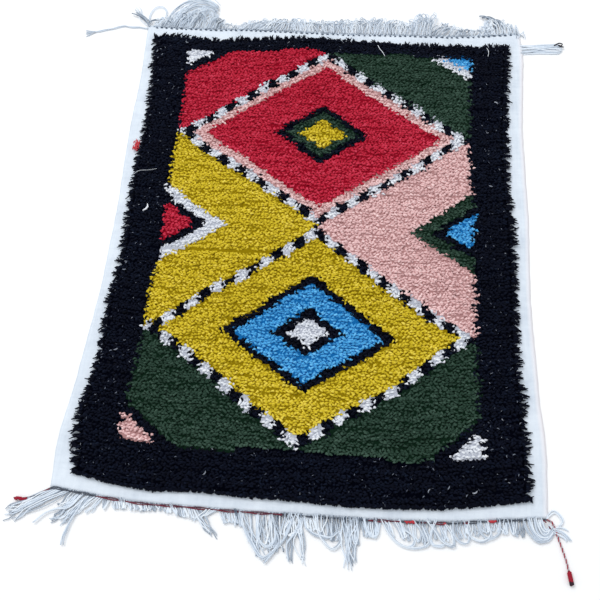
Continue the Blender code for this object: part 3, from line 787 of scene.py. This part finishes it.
rim = []
chance = random.Random("locks")
for edge, side, kind in (
    (pile.left, Vector((-1, 0)), "side"),
    (pile.right, Vector((1, 0)), "side"),
    (pile.near, Vector((0, -1)), "near"),
    (pile.far, Vector((0, 1)), "far"),
):
    places, offsets = edge
    for _ in range(LOCK_LAYERS):
        at = places[0] + chance.uniform(0, LOCK_PITCH)
        while at < places[-1]:
            clump = math.floor(at / LOCK_CLUMP)
            clump_chance = random.Random(clump * 7 + len(kind) + int(side.x))
            pull = clump_chance.uniform(-0.45, 0.45)
            stretch = clump_chance.uniform(0.45, 1.05)
            centre = (clump + 0.5) * LOCK_CLUMP
            off = float(np.interp(at, places, offsets))
            inwards = chance.uniform(*LOCK_INWARDS[kind])
            along_edge = Vector((abs(side.y), abs(side.x)))
            spot = along_edge * at + Vector((abs(side.x), abs(side.y))) * off - side * inwards
            towards = 0.8 * (centre - at) / LOCK_CLUMP + pull + chance.uniform(-0.15, 0.15)
            reach = chance.uniform(*LOCK_REACH[kind]) * stretch + inwards
            thick = LOCK_WIDTH[kind] / 2 * chance.uniform(0.8, 1.2)
            rim.append((*spot, *(side + along_edge * towards), reach, thick))
            at += LOCK_PITCH * chance.uniform(0.7, 1.3)
rim = np.array(rim)
draw = np.random.default_rng(23)
rim_top = draw.uniform(*LOCK_TOP, len(rim))
drops = draw.uniform(*LOCK_DROP, len(rim))
locks = tufts(*rim[:, :2].T, rim_top, rim[:, 2:4], *rim[:, 4:].T, rim_top - LOCK_FOOT, drops, 29)
lock_crests = tuft_crests(draw.normal(-0.15, 0.1, len(rim)))
rim_locks = add_piece("rim_locks", [locks], [finishes["black"]], [lock_crests])
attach(rim_locks, "root")


# The near fringe: cotton warps past the twining. Most turn back as loops, where they went round
# the loom's bar, and some were cut and hang in loose bundles with curling ends.
YARN_RADIUS = 0.0013
YARN_SWAY = 0.09
YARN_LAYERS = 0.0026
YARN_SIDES = 5
NEAR_STEPS = 15
NEAR_LOOP = 0.0072
# Where each bundle's first and last yarns start along the edge, how far out they reach and where
# along the edge they end; the share of loops, the size of the curls and the number of yarns. All
# the lengths are in millimetres.
NEAR_BUNDLES = (
    (-492, -470, 56, 60, -582, -562, 0.0, 4.5, 16),
    (-472, -452, 69, 70, -577, -556, 0.0, 5, 8),
    (-450, -428, 34, 30, -472, -448, 0.7, 3, 8),
    (-426, -406, 62, 66, -488, -458, 0.0, 5, 13),
    (-405, -382, 54, 32, -462, -404, 0.2, 3, 9),
    (-381, -371, 24, 28, -383, -372, 1.0, 1, 3),
    (-368, -270, 24, 15, -360, -266, 1.0, 1.2, 25),
    (-269, -203, 17, 30, -258, -189, 1.0, 1.2, 17),
    (-208, -184, 52, 60, -168, -143, 0.0, 2, 7),
    (-172, -142, 30, 16, -192, -168, 0.2, 1, 8),
    (-146, -101, 29, 34, -138, -91, 1.0, 1.6, 12),
    (-110, -73, 60, 92, -78, -54, 0.1, 3, 10),
    (-73, -41, 86, 82, -58, -50, 0.1, 4, 7),
    (-56, -17, 70, 74, -40, -18, 0.5, 3, 10),
    (-18, -6, 98, 94, -3, 1, 0.0, 1, 4),
    (-6, 22, 98, 96, 22, 26, 0.0, 1.5, 6),
    (-12, 24, 50, 40, -14, 20, 0.8, 2.5, 9),
    (21, 66, 28, 40, 27, 72, 1.0, 1.8, 10),
    (65, 95, 48, 50, 72, 92, 0.9, 2.5, 7),
    (95, 136, 102, 84, 104, 132, 0.0, 1.8, 14),
    (100, 136, 60, 50, 104, 134, 0.6, 2, 8),
    (134, 174, 36, 38, 140, 167, 1.0, 1.5, 11),
    (172, 206, 30, 40, 190, 220, 0.3, 1, 8),
    (206, 271, 40, 45, 222, 270, 1.0, 2.4, 9),
    (271, 339, 40, 34, 279, 341, 1.0, 1.8, 11),
    (339, 407, 30, 26, 344, 408, 1.0, 1.8, 12),
    (407, 452, 31, 36, 410, 454, 1.0, 1.8, 12),
)
# The routes of warps that hang in wide swags, of nested loops at the right corner and of long ends
NEAR_ROUTES = (
    route_of(48, -666, 52, -687, 64, -711, 86, -726, 99, -712, 95, -689),
    route_of(26, -668, 31, -688, 45, -699, 62, -703, 78, -704, 92, -690),
    route_of(-68, -668, -67, -703, -59, -722, -43, -732, -31, -717, -33, -690),
    route_of(-105, -666, -91, -702, -72, -730, -52, -752, -35, -742, -22, -722),
    route_of(1, -668, -4, -693, -14, -716, -31, -737, -43, -748, -55, -755),
    route_of(-42, -668, -29, -698, -21, -716, -27, -733, -38, -748, -48, -761),
    route_of(20, -668, 13, -692, 3, -709, -6, -724, -4, -742, 0, -757),
    route_of(142, -662, 150, -686, 160, -699, 170, -694, 168, -680, 162, -664),
    route_of(174, -662, 192, -690, 214, -709, 248, -713, 269, -704, 258, -668),
    route_of(212, -660, 222, -680, 236, -690, 243, -700, 240, -708, 230, -712),
    route_of(236, -660, 250, -677, 260, -693, 262, -703, 260, -710, 252, -713),
    route_of(264, -658, 282, -680, 300, -703, 316, -705, 316, -690, 300, -664),
    route_of(282, -658, 273, -680, 271, -696, 278, -706, 288, -707, 300, -704),
    route_of(317, -658, 317, -680, 327, -696, 342, -699, 348, -684, 337, -656),
    route_of(348, -654, 346, -675, 356, -690, 372, -693, 386, -684, 384, -656),
    route_of(369, -652, 369, -676, 380, -687, 392, -686, 403, -678, 407, -656),
    route_of(453, -642, 456, -658, 464, -674, 478, -686, 493, -684, 507, -667),
    route_of(464, -641, 467, -656, 473, -670, 483, -679, 495, -677, 506, -663),
    route_of(476, -641, 478, -654, 483, -666, 490, -672, 499, -668, 505, -658),
    route_of(486, -641, 488, -652, 491, -660, 496, -663, 500, -659, 502, -651),
    route_of(459, -641, 462, -657, 469, -672, 481, -682, 494, -680, 506, -665),
    route_of(470, -641, 473, -655, 478, -668, 487, -675, 497, -672, 505, -660),
    route_of(481, -641, 483, -653, 487, -663, 493, -667, 499, -663, 503, -654),
    route_of(-430, -652, -440, -667, -452, -679, -475, -684, -496, -693, -519, -714),
    route_of(-418, -654, -435, -686, -444, -707, -448, -723, -452, -740, -451, -753),
)
# How high the yarns stand, and what share of them lies over the twining instead of under it, by
# the place along the edge
NEAR_LIFT = ((-0.5, 0.5), (0.0022, 0.0022))
NEAR_RAISED = ((-0.04, -0.01, 0.14, 0.16), (0.03, 0.50, 0.50, 0.08))
# Where the yarns start inside the edge, how high, what share is raised, and the painted shadow at
# their roots
NEAR_ROOTING = (0.0020, 0.0086, NEAR_RAISED, 0.28)
SWAG_HEIGHT = 0.0038
ROUTE_STRANDS = 4
STRAND_SPREAD = 0.0028
STRAND_RISE = 0.0007


def yarn_lines(bundles, edge, outward, steps, lift, rooting, loop_width, seed):
    """The middle lines of bundles of yarns along an edge, and how pale each point of them is.

    Lift is how high they stand, by the place along the edge. Rooting is how far inside the edge they
    start, how high there and what share of them, and how much painted shadow darkens them there.
    """
    inside, foot, raised, shadow = rooting
    chance = random.Random(seed)
    share = np.linspace(0, 1, steps)
    lines, crests = [], []
    shift = np.array((RUG.x, RUG.x, 0, 0, RUG.x, RUG.x))
    for *span, loops, curl, yarns in bundles:
        root_a, root_b, reach_a, reach_b, tip_a, tip_b = np.array(span) / 1000 + shift
        curl /= 1000
        for k in range(yarns):
            spot = (k + chance.uniform(0.1, 0.9)) / yarns
            root = root_a + (root_b - root_a) * spot
            tip = tip_a + (tip_b - tip_a) * spot
            reach = reach_a + (reach_b - reach_a) * spot
            reach *= chance.uniform(0.88, 1.04)
            lifted, share_raised = (np.interp(root - RUG.x, *table) for table in (lift, raised))
            drift = tip - root + (0.002 + 0.09 * reach) * chance.uniform(-1, 1)
            height, turn = lifted * chance.uniform(0.5, 1.1), chance.uniform(0, 6.28)
            layer, beat = chance.random(), chance.uniform(3, 8)
            sway = YARN_SWAY * reach * chance.uniform(-1, 1)
            if chance.random() < loops:
                out = reach * (1 - np.abs(2 * share - 1) ** 2.3)
                aside = drift * out / reach + loop_width * chance.uniform(0.4, 1.2) * (share - 0.5)
                swing, weight = turn + chance.uniform(7, 15) * share, np.sin(math.pi * share)
                arch = np.sin(math.pi * share)
                from_root = 1 - np.abs(2 * share - 1)
            else:
                out = reach * share
                aside = drift * share ** chance.uniform(0.95, 1.25)
                swing, weight = turn + chance.uniform(10, 20) * share, share**3.5
                arch = np.sin(math.pi * share) + 0.15 * share
                from_root = share
            out = out + curl * weight * np.sin(swing)
            x = root + aside + curl * weight * np.cos(swing)
            x = x + sway * (np.sin(turn + beat * from_root) - math.sin(turn))
            y = np.interp(root, *edge) + outward * (out - inside)
            z = YARN_RADIUS + YARN_LAYERS * layer * np.minimum(1, 4 * from_root) + height * arch
            if chance.random() < share_raised:
                z = np.maximum(z, foot * (1 - from_root / 0.3))
            lines.append(np.stack([x, y, z], axis=1))
            # Painted shade: darker at the roots, and darker the lower a yarn lies among the others
            shaded = np.clip(1 - from_root / 0.16, 0, 1)
            crests.append(0.20 + 0.52 * layer + chance.uniform(-0.10, 0.12) - shadow * shaded)
    return lines, crests


def strands(routes, height, steps, count, spread, seed):
    """Several yarns side by side along each route, and how pale each point of them is."""
    chance = random.Random(seed)
    lines, crests = [], []
    for route in routes:
        for k in range(count):
            line = curve_through(route, height + STRAND_RISE * k, steps)
            for axis in (0, 1):
                drift = np.linspace(chance.uniform(-1, 1), chance.uniform(-1, 1), steps)
                beat = np.linspace(0, chance.uniform(3, 8), steps) + chance.uniform(0, 6)
                line[:, axis] += spread * (0.8 * drift + 0.4 * np.sin(beat))
            lines.append(line)
            crests.append(np.full(steps, chance.uniform(0.30, 0.70)))
    return lines, crests


def yarn_piece(name, lines, crests, radius, node):
    """A piece of many like yarns, a little thinner at their ends, riding on the rug."""
    steps = len(lines[0])
    taper = 1 - 0.35 * np.abs(2 * np.linspace(0, 1, steps) - 1) ** 6
    shape = sweep(np.array(lines), np.tile(radius * taper, (len(lines), 1)), sides=YARN_SIDES)
    piece = add_piece(name, [shape], [cotton_yarn], [np.repeat(np.concatenate(crests), YARN_SIDES)])
    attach(piece, "root")
    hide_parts(node)
    return piece


near_lines, near_crests = yarn_lines(
    NEAR_BUNDLES, cloth.near, -1, NEAR_STEPS, NEAR_LIFT, NEAR_ROOTING, NEAR_LOOP, "near"
)
swags = strands(NEAR_ROUTES, SWAG_HEIGHT, NEAR_STEPS, ROUTE_STRANDS, STRAND_SPREAD, "swags")
near_fringe = yarn_piece(
    "near_fringe_yarns",
    near_lines + swags[0],
    near_crests + swags[1],
    YARN_RADIUS,
    "near_fringe",
)


# The far fringe: the warps' other ends, left as unbroken loops that sprang up into soft curls when
# the rug came off the loom. A clump at the left was pulled long and falls over to the right.
FAR_STEPS = 21
FAR_YARN = 0.0011
FAR_LOOP = 0.018
FAR_BUNDLES = (
    (-502, -496, 74, 66, -545, -538, 0.0, 1.5, 5),
    (-488, -440, 26, 34, -480, -430, 0.9, 5, 16),
    (-450, -370, 40, 60, -425, -345, 0.7, 7, 24),
    (-420, -330, 34, 44, -405, -315, 1.0, 7, 20),
    (-340, -300, 36, 24, -326, -294, 1.0, 6, 12),
    (-300, -262, 14, 16, -300, -256, 1.0, 3, 8),
    (-262, -180, 18, 36, -244, -160, 1.0, 5, 20),
    (-210, -110, 34, 34, -180, -100, 0.9, 6, 25),
    (-110, 20, 36, 36, -114, 20, 1.0, 6.5, 36),
    (20, 130, 38, 50, 20, 132, 1.0, 7, 34),
    (130, 210, 48, 34, 136, 212, 1.0, 6, 23),
    (205, 270, 56, 68, 215, 276, 0.5, 8, 22),
    (250, 340, 40, 22, 290, 350, 0.6, 4.5, 20),
    (330, 420, 18, 20, 342, 424, 0.9, 3.5, 18),
    (400, 430, 26, 34, 392, 420, 0.6, 4, 10),
    (415, 460, 52, 42, 408, 450, 0.6, 5, 14),
    (455, 502, 36, 20, 452, 500, 0.8, 4, 16),
)
# The routes of the few bundles that are a darker grey
GREY_ROUTES = (
    route_of(-497, 640, -508, 650, -518, 661, -534, 671, -552, 678),
    route_of(-492, 645, -506, 657, -516, 668, -528, 674, -541, 681),
    route_of(-440, 648, -460, 657, -480, 656, -492, 652, -500, 646),
    route_of(436, 650, 434, 668, 424, 679, 409, 687, 393, 691),
    route_of(446, 650, 441, 670, 430, 680, 416, 686, 400, 683),
    route_of(452, 648, 452, 664, 444, 674, 430, 678, 414, 677),
)
GREY_STRANDS = 4
GREY_HEIGHT = 0.0060
GREY_SPREAD = 0.0030
# The long clump's yarns lie between an outer and an inner route
CLUMP_YARNS = 26
CLUMP_SWING = (0.0060, 0.0045)
CLUMP_FOOT = 0.003
CLUMP_RISE = 0.014
CLUMP_OUTER = route_of(-466, 636, -452, 668, -425, 702, -395, 728, -362, 737, -332, 728, -313, 708)
CLUMP_INNER = route_of(-405, 632, -398, 648, -384, 664, -366, 678, -348, 684, -332, 680, -318, 668)
# How high the loops stand, by the place along the edge
FAR_LIFT = (
    (-0.50, -0.40, -0.34, -0.26, 0.10, 0.245, 0.50),
    (0.003, 0.016, 0.018, 0.006, 0.010, 0.012, 0.005),
)
# Where the loops start inside the edge, how high, what share is raised, and the painted shadow at
# their roots
FAR_ROOTING = (0.0050, 0.0050, ((-0.5, 0.5), (1, 1)), 0.10)
# Two long loops at the left corner
FAR_YARN_HEIGHT = 0.0030
FAR_YARNS = (
    route_of(-502, 645, -501, 690, -489, 708, -473, 710, -459, 697, -456, 665),
    route_of(-500, 645, -498, 688, -487, 704, -474, 706, -461, 694, -459, 665),
)

far_lines, far_crests = yarn_lines(
    FAR_BUNDLES, cloth.far, 1, FAR_STEPS, FAR_LIFT, FAR_ROOTING, FAR_LOOP, "far"
)
far_lines += [curve_through(route, FAR_YARN_HEIGHT, FAR_STEPS) for route in FAR_YARNS]
far_crests += [np.full(FAR_STEPS, 0.5)] * len(FAR_YARNS)
outer, inner = (curve_through(route, 0, FAR_STEPS) for route in (CLUMP_OUTER, CLUMP_INNER))
chance = random.Random("clump")
arch = np.sin(math.pi * np.linspace(0.05, 0.85, FAR_STEPS))
for k in range(CLUMP_YARNS):
    depth = k / CLUMP_YARNS + np.linspace(0, chance.uniform(-0.4, 0.4), FAR_STEPS)
    line = outer + (inner - outer) * depth[:, None]
    turn = np.linspace(0, chance.uniform(6, 13), FAR_STEPS) + chance.uniform(0, 6)
    line[:, 0] += CLUMP_SWING[0] * arch * np.sin(turn)
    line[:, 1] += CLUMP_SWING[1] * arch * np.cos(turn)
    line[:, 2] = CLUMP_FOOT + CLUMP_RISE * arch * chance.uniform(0.6, 1)
    far_lines.append(line)
    # Painted shade: darker where the clump's yarns lie low at their ends
    far_crests.append(0.35 + 0.3 * chance.random() - 0.2 * (1 - arch))
greys = strands(GREY_ROUTES, GREY_HEIGHT, FAR_STEPS, GREY_STRANDS, GREY_SPREAD, "greys")
far_lines += greys[0]
far_crests += [pale - 0.36 for pale in greys[1]]
far_fringe = yarn_piece(
    "far_fringe_yarns", far_lines, far_crests, FAR_YARN, "far_fringe"
)


# The yarns at the right side's two ends: a flat bundle of cotton caught by a black thread at the
# far corner, and the warps' loose ends at the near one.
TIE_YARNS = (
    route_of(497, 593, 520, 592, 548, 595, 575, 597, 594, 598, 601, 594),
    route_of(497, 588, 520, 590, 548, 590, 575, 592, 592, 593, 604, 588),
    route_of(497, 583, 520, 584, 548, 587, 575, 587, 592, 587, 605, 582),
    route_of(497, 578, 520, 581, 548, 581, 575, 583, 592, 582, 604, 577),
    route_of(497, 573, 520, 574, 548, 577, 575, 577, 592, 576, 602, 573),
    route_of(497, 568, 520, 571, 548, 571, 575, 572, 592, 571, 598, 570),
    route_of(497, 563, 520, 565, 548, 567, 570, 567, 586, 567, 595, 567),
    route_of(497, 590, 522, 586, 550, 578, 572, 574, 588, 573, 600, 575),
    route_of(497, 566, 522, 569, 550, 579, 572, 586, 588, 590, 598, 591),
)
TIE_HEIGHTS = (0.0018, 0.0026, 0.0018, 0.0028, 0.0018, 0.0026, 0.0018, 0.0044, 0.0046)
TIE_STEPS = 16
BUNDLE_YARN = 0.0021
LOOP_HEIGHT = 0.0026
LOOP_SPREAD = 0.0012
LOOP_STRANDS = 2
CORNER_YARNS = (
    route_of(497, -641, 504, -633, 512, -628, 521, -635, 525, -645, 518, -655),
    route_of(495, -642, 501, -631, 511, -624, 520, -629, 528, -643, 521, -656),
    route_of(500, -656, 506, -664, 514, -664, 523, -665, 531, -672, 538, -681),
    route_of(500, -653, 507, -661, 516, -661, 526, -664, 534, -670, 542, -680),
    route_of(500, -650, 508, -658, 515, -657, 522, -656, 529, -658, 537, -663),
    route_of(498, -655, 507, -666, 513, -668, 520, -672, 527, -675, 533, -682),
)

tie_lines = [curve_through(route, z, TIE_STEPS) for route, z in zip(TIE_YARNS, TIE_HEIGHTS)]
tie_crests = [np.full(TIE_STEPS, 0.44 + 0.08 * (i % 4)) for i in range(len(tie_lines))]
right_tie = yarn_piece(
    "right_tie_yarns", tie_lines, tie_crests, BUNDLE_YARN, "right_tie"
)
loop_lines, loop_crests = strands(
    CORNER_YARNS, LOOP_HEIGHT, TIE_STEPS, LOOP_STRANDS, LOOP_SPREAD, "corner"
)
corner_loops = yarn_piece(
    "corner_loop_yarns", loop_lines, loop_crests, YARN_RADIUS, "corner_loops"
)

# The black thread that catches the bundle
TIE_THREAD = route_of(583, 590, 589, 595, 597, 599, 604, 596, 600, 590, 594, 592, 600, 588, 607, 586)
TIE_THREAD_HEIGHT = 0.0066
TIE_THREAD_RADIUS = 0.0016
TIE_THREAD_STEPS = 24

thread_line = curve_through(TIE_THREAD, TIE_THREAD_HEIGHT, TIE_THREAD_STEPS)
thread_shape = sweep([thread_line], np.full((1, TIE_THREAD_STEPS), TIE_THREAD_RADIUS))
tie_thread = add_piece("tie_thread", [thread_shape], [dark_yarn], [0.1])
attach(tie_thread, "root")


# The twining: a red and a dark grey yarn twined across the warps, close against the cloth's near
# edge. The red one gives way to grey at both ends, and now and then it makes a small hard knot.
# The tail past the left corner, before the edge itself
TWINE_TAIL = route_of(-570, -667, -552, -668, -536, -666, -521, -659, -510, -650)
TWINE_HEIGHT = 0.0042
TWINE_PITCH = 0.060
TWINE_OFFSET = 0.0010
TWINE_STEPS = 600
TWINE_YARN = 0.00125
TWINE_OUTSIDE = 0.0028
# The stretches where the red yarns show, and the places, lengths and yarns of the knots
TWINE_REDS = (
    (-0.580, -0.535),
    (-0.512, -0.500),
    (-0.402, -0.020),
    (0.150, 0.212),
    (0.252, 0.262),
    (0.276, 0.300),
    (0.334, 0.345),
    (0.386, 0.400),
)
TWINE_KNOTS = (
    (-0.558, 0.0110, "crimson"),
    (-0.549, 0.0070, "crimson"),
    (0.226, 0.0050, "poppy"),
    (0.237, 0.0070, "poppy"),
    (0.388, 0.0050, "poppy"),
    (0.394, 0.0056, "poppy"),
    (0.300, 0.0030, "poppy"),
)
# The red yarn's last turns among the loops at the right corner
CORNER_TWIST_HEIGHT = 0.0072
CORNER_TWIST_RADIUS = 0.0013
CORNER_TWIST_STEPS = 30
CORNER_TWIST = route_of(489, -645, 493, -648, 497, -653, 501, -659, 505, -664)

maroon_yarn = fibre("maroon_yarn", (60, 26, 36), (126, 54, 68), (158, 96, 108))
dusky_yarn = fibre("dusky_yarn", (52, 34, 44), (104, 66, 78), (138, 110, 122))
grey_yarn = fibre("grey_yarn", (50, 54, 64), (92, 98, 109), (138, 146, 158))
edge_x = np.linspace(-0.494, 0.496, 40)
edge_y = np.interp(edge_x + RUG.x, *cloth.near) - RUG.y - TWINE_OUTSIDE
twine_line = curve_through([*TWINE_TAIL, *zip(edge_x, edge_y)], TWINE_HEIGHT, TWINE_STEPS)
front, back = plied(twine_line, 2, TWINE_OFFSET, TWINE_PITCH)
shifts = np.array([0, TWINE_OFFSET, 0])
shapes, twine_finishes, twine_crests = [], [], []
along_x = twine_line[:, 0] - RUG.x
reds = np.zeros(TWINE_STEPS, bool)
for start, end in TWINE_REDS:
    reds |= (along_x > start) & (along_x < end)
turns = np.flatnonzero(np.diff(reds)) + 1
for first, last in zip([0, *turns], [*turns, TWINE_STEPS]):
    for yarn, red in ((front - shifts, maroon_yarn), (back + shifts, dusky_yarn)):
        stretch = yarn[first : last + 1]
        shapes.append(sweep([stretch], np.full((1, len(stretch)), TWINE_YARN)))
        twine_finishes.append(red if reds[first] else grey_yarn)
        twine_crests.append(0.40)
poppy_yarn = fibre("poppy_yarn", (112, 36, 44), (196, 66, 74), (226, 118, 118))
knot_yarns = {"crimson": bound_yarn, "poppy": poppy_yarn}
for x, size, yarn in TWINE_KNOTS:
    middle = twine_line[np.abs(along_x - x).argmin()] + (0, -0.0006, 0.0008)
    steps = np.linspace(-1, 1, 9)
    bend = np.sin(steps * 4 + 300 * x)
    knot_line = middle + np.stack([steps * size, 0.0009 * bend, 0.0004 * bend], 1)
    lumps = 1 + 0.22 * np.cos(steps * 6 + 500 * x)
    knot_radii = (0.0012 + 0.26 * size) * np.cos(steps * 1.35) ** 0.6 * lumps
    shapes.append(sweep([knot_line], [knot_radii]))
    twine_finishes.append(knot_yarns[yarn])
    twine_crests.append(0.45)
twist_line = curve_through(CORNER_TWIST, CORNER_TWIST_HEIGHT, CORNER_TWIST_STEPS)
twist_radii = CORNER_TWIST_RADIUS * np.sin(np.linspace(0.5, 2.7, 10))
for first in (0, 17):
    shapes.append(sweep([twist_line[first : first + 10]], [twist_radii]))
    twine_finishes.append(maroon_yarn)
    twine_crests.append(0.4)
twining = add_piece("near_twining_yarns", shapes, twine_finishes, twine_crests)
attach(twining, "root")
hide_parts("near_twining")


# The last weft at the far edge: it dips under the warps and shows between them as a row of short
# dashes beside the fringe's roots, coloured dark grey as painted shadow in the holes where the warps
# turn.
WEFT_PITCH = 0.0138
WEFT_SPAN = (-0.476, 0.488)
WEFT_LENGTH = 0.0036
WEFT_YARN = 0.0021
WEFT_INSIDE = 0.0080

shadow_yarn = fibre("shadow_yarn", (56, 66, 82), (86, 98, 116), (128, 140, 157))
chance = random.Random("weft")
dashes = []
weft_x = WEFT_SPAN[0]
while weft_x < WEFT_SPAN[1]:
    x = weft_x + RUG.x
    y = float(np.interp(x, *cloth.far)) - WEFT_INSIDE + chance.uniform(-0.0008, 0.0008)
    z = cloth.top(x, y) + 0.0004
    half, slant = WEFT_LENGTH * chance.uniform(0.6, 1.1), chance.uniform(-0.0012, 0.0004)
    dashes.append([(x - half, y - slant, z), (x, y, z + 0.0004), (x + half, y + slant, z)])
    weft_x += WEFT_PITCH * chance.uniform(0.9, 1.1)
dash_radii = np.tile((0.6 * WEFT_YARN, WEFT_YARN, 0.6 * WEFT_YARN), (len(dashes), 1))
far_weft = add_piece("far_weft_shadow_dashes", [sweep(dashes, dash_radii, sides=4)], [shadow_yarn], [0.4])
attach(far_weft, "root")


# What has caught on the pile: a few long white threads, some bits of lint and, at the left edge,
# a bit of red fluff.
THREADS = (
    route_of(126, 569, 131, 555, 139, 543, 146, 528),
    route_of(408, 569, 411, 560, 412, 549, 410, 536),
    route_of(-456, 135, -439, 143, -418, 145, -398, 150),
)
# Where the larger bits of lint lie and how long they are, in millimetres, and how far they turn
LINT = (
    (-409, 37, 24, 1.17), (-470, 509, 5, 0.3), (-439, 431, 6, 0.7),
    (-453, 420, 5, 1.0), (-448, 370, 5, 0.2), (-442, 317, 7, 0.5),
    (-388, 319, 6, 1.3), (-406, 92, 5, 0.8), (-383, 69, 7, 0.2),
    (-403, -66, 6, 0.9), (-429, -115, 8, 1.2), (-430, -134, 9, 0.1),
    (-458, 534, 10, 1.2), (-442, 521, 8, 1.0), (-451, 509, 6, 0.8),
    (-381, 565, 10, -0.5), (-447, -324, 5, 0.4), (-414, -334, 10, 0.5),
    (-424, -339, 7, 0.3), (-444, -342, 5, 1.2), (-441, -356, 5, 0.9),
    (-416, -410, 4, 0.7), (-405, -405, 4, 2.0), (-421, -426, 5, 1.4),
    (-439, -441, 5, 0.4), (-395, -435, 6, 0.9), (-372, -457, 4, 0.3),
    (-386, -504, 5, 0.6), (-247, -567, 5, 0.3), (-184, -596, 10, 1.1),
    (257, -617, 6, 0.7), (268, -605, 10, 1.1), (306, -596, 9, 1.1),
    (342, -610, 7, 1.0), (357, -601, 12, 0.5), (393, -513, 6, 0.4),
    (418, -573, 5, 0.2), (422, -525, 6, 1.6), (444, -562, 6, 1.3),
    (436, -521, 7, 0.4), (406, -468, 6, -0.5), (388, 427, 6, 0.7),
    (426, 383, 12, -0.6), (407, 131, 10, -0.3),
)
SMALL_LINT = 420
SMALL_LINT_LENGTH = (0.002, 0.006)
SMALL_LINT_RADIUS = (0.0004, 0.0007)
LINT_ABOVE = 0.0020
THREAD_ABOVE = 0.0022
THREAD_POINTS = 9
RED_FLUFF = Vector((-0.4634, 0.2290, 0.0090))
FLUFF_STRANDS = 22
FLUFF_SPREAD = (0.0034, 0.0085)

lint_fibre = fibre("lint", (44, 50, 66), (120, 127, 140), (232, 236, 242))
thread_lines = [curve_through(route, 0, THREAD_POINTS) for route in THREADS]
for line in thread_lines:
    line[:, 2] = [max(pile.top(x, y), cloth.top(x, y)) + THREAD_ABOVE for x, y, _ in line]
thread_radii = np.outer((0.0008, 0.0008, 0.0004), np.linspace(1, 0.7, THREAD_POINTS))

chance = random.Random("lint")
bits = []
for x, y, size, turn in LINT:
    size /= 1000
    long, thick, pale = 0.9 * size, 0.0005 + 0.07 * size, 0.2 + 33 * size
    bits.append((x / 1000 + RUG.x, y / 1000 + RUG.y, long, turn, thick, pale))
spots = np.flatnonzero(border)
for _ in range(SMALL_LINT):
    spot = spots[chance.randrange(len(spots))]
    long, thick = chance.uniform(*SMALL_LINT_LENGTH), chance.uniform(*SMALL_LINT_RADIUS)
    pale = 0.6 * chance.random() ** 1.5
    bits.append((knot_x.flat[spot], knot_y.flat[spot], long, chance.uniform(0, 3.14), thick, pale))
bit_lines, bit_radii, bit_crests = [], [], []
for x, y, long, turn, thick, pale in bits:
    bow = chance.uniform(-0.25, 0.25) * long
    z = max(pile.top(x, y), LEAST_HEIGHT) + LINT_ABOVE
    flat = [(-0.5 * long, 0), (-0.15 * long, bow), (0.2 * long, bow), (0.5 * long, 0)]
    across, up = Vector((math.cos(turn), math.sin(turn))), Vector((-math.sin(turn), math.cos(turn)))
    bit_lines.append([(*(Vector((x, y)) + across * a + up * b), z) for a, b in flat])
    bit_radii.append(thick * np.array([0.6, 1.2, 1.2, 0.5]))
    bit_crests += [pale] * 16
lint = add_piece(
    "pile_lint",
    [sweep(thread_lines, thread_radii), sweep(bit_lines, bit_radii, sides=4)],
    [cotton_yarn, lint_fibre],
    [0.75, bit_crests],
)

strand_lines = []
for _ in range(FLUFF_STRANDS):
    off = [chance.gauss(0, spread) for spread in FLUFF_SPREAD]
    middle = RED_FLUFF + RUG + Vector((*off, 0))
    reach = Vector((chance.uniform(-0.006, 0.006), chance.uniform(0.003, 0.009), 0))
    bow = Vector((chance.uniform(-0.004, 0.004), chance.uniform(-0.002, 0.002), 0.0015))
    third = reach / 3
    strand_lines.append([middle - reach, middle - third + bow, middle + third + bow, middle + reach])
fluff_radii = np.tile((0.0008, 0.0014, 0.0013, 0.0006), (FLUFF_STRANDS, 1))
fluff = add_piece("red_fluff", [sweep(strand_lines, fluff_radii)], [poppy_yarn], [0.5])
for piece, slot in ((lint, "white_wool"), (fluff, "red_wool")):
    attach(piece, "root")
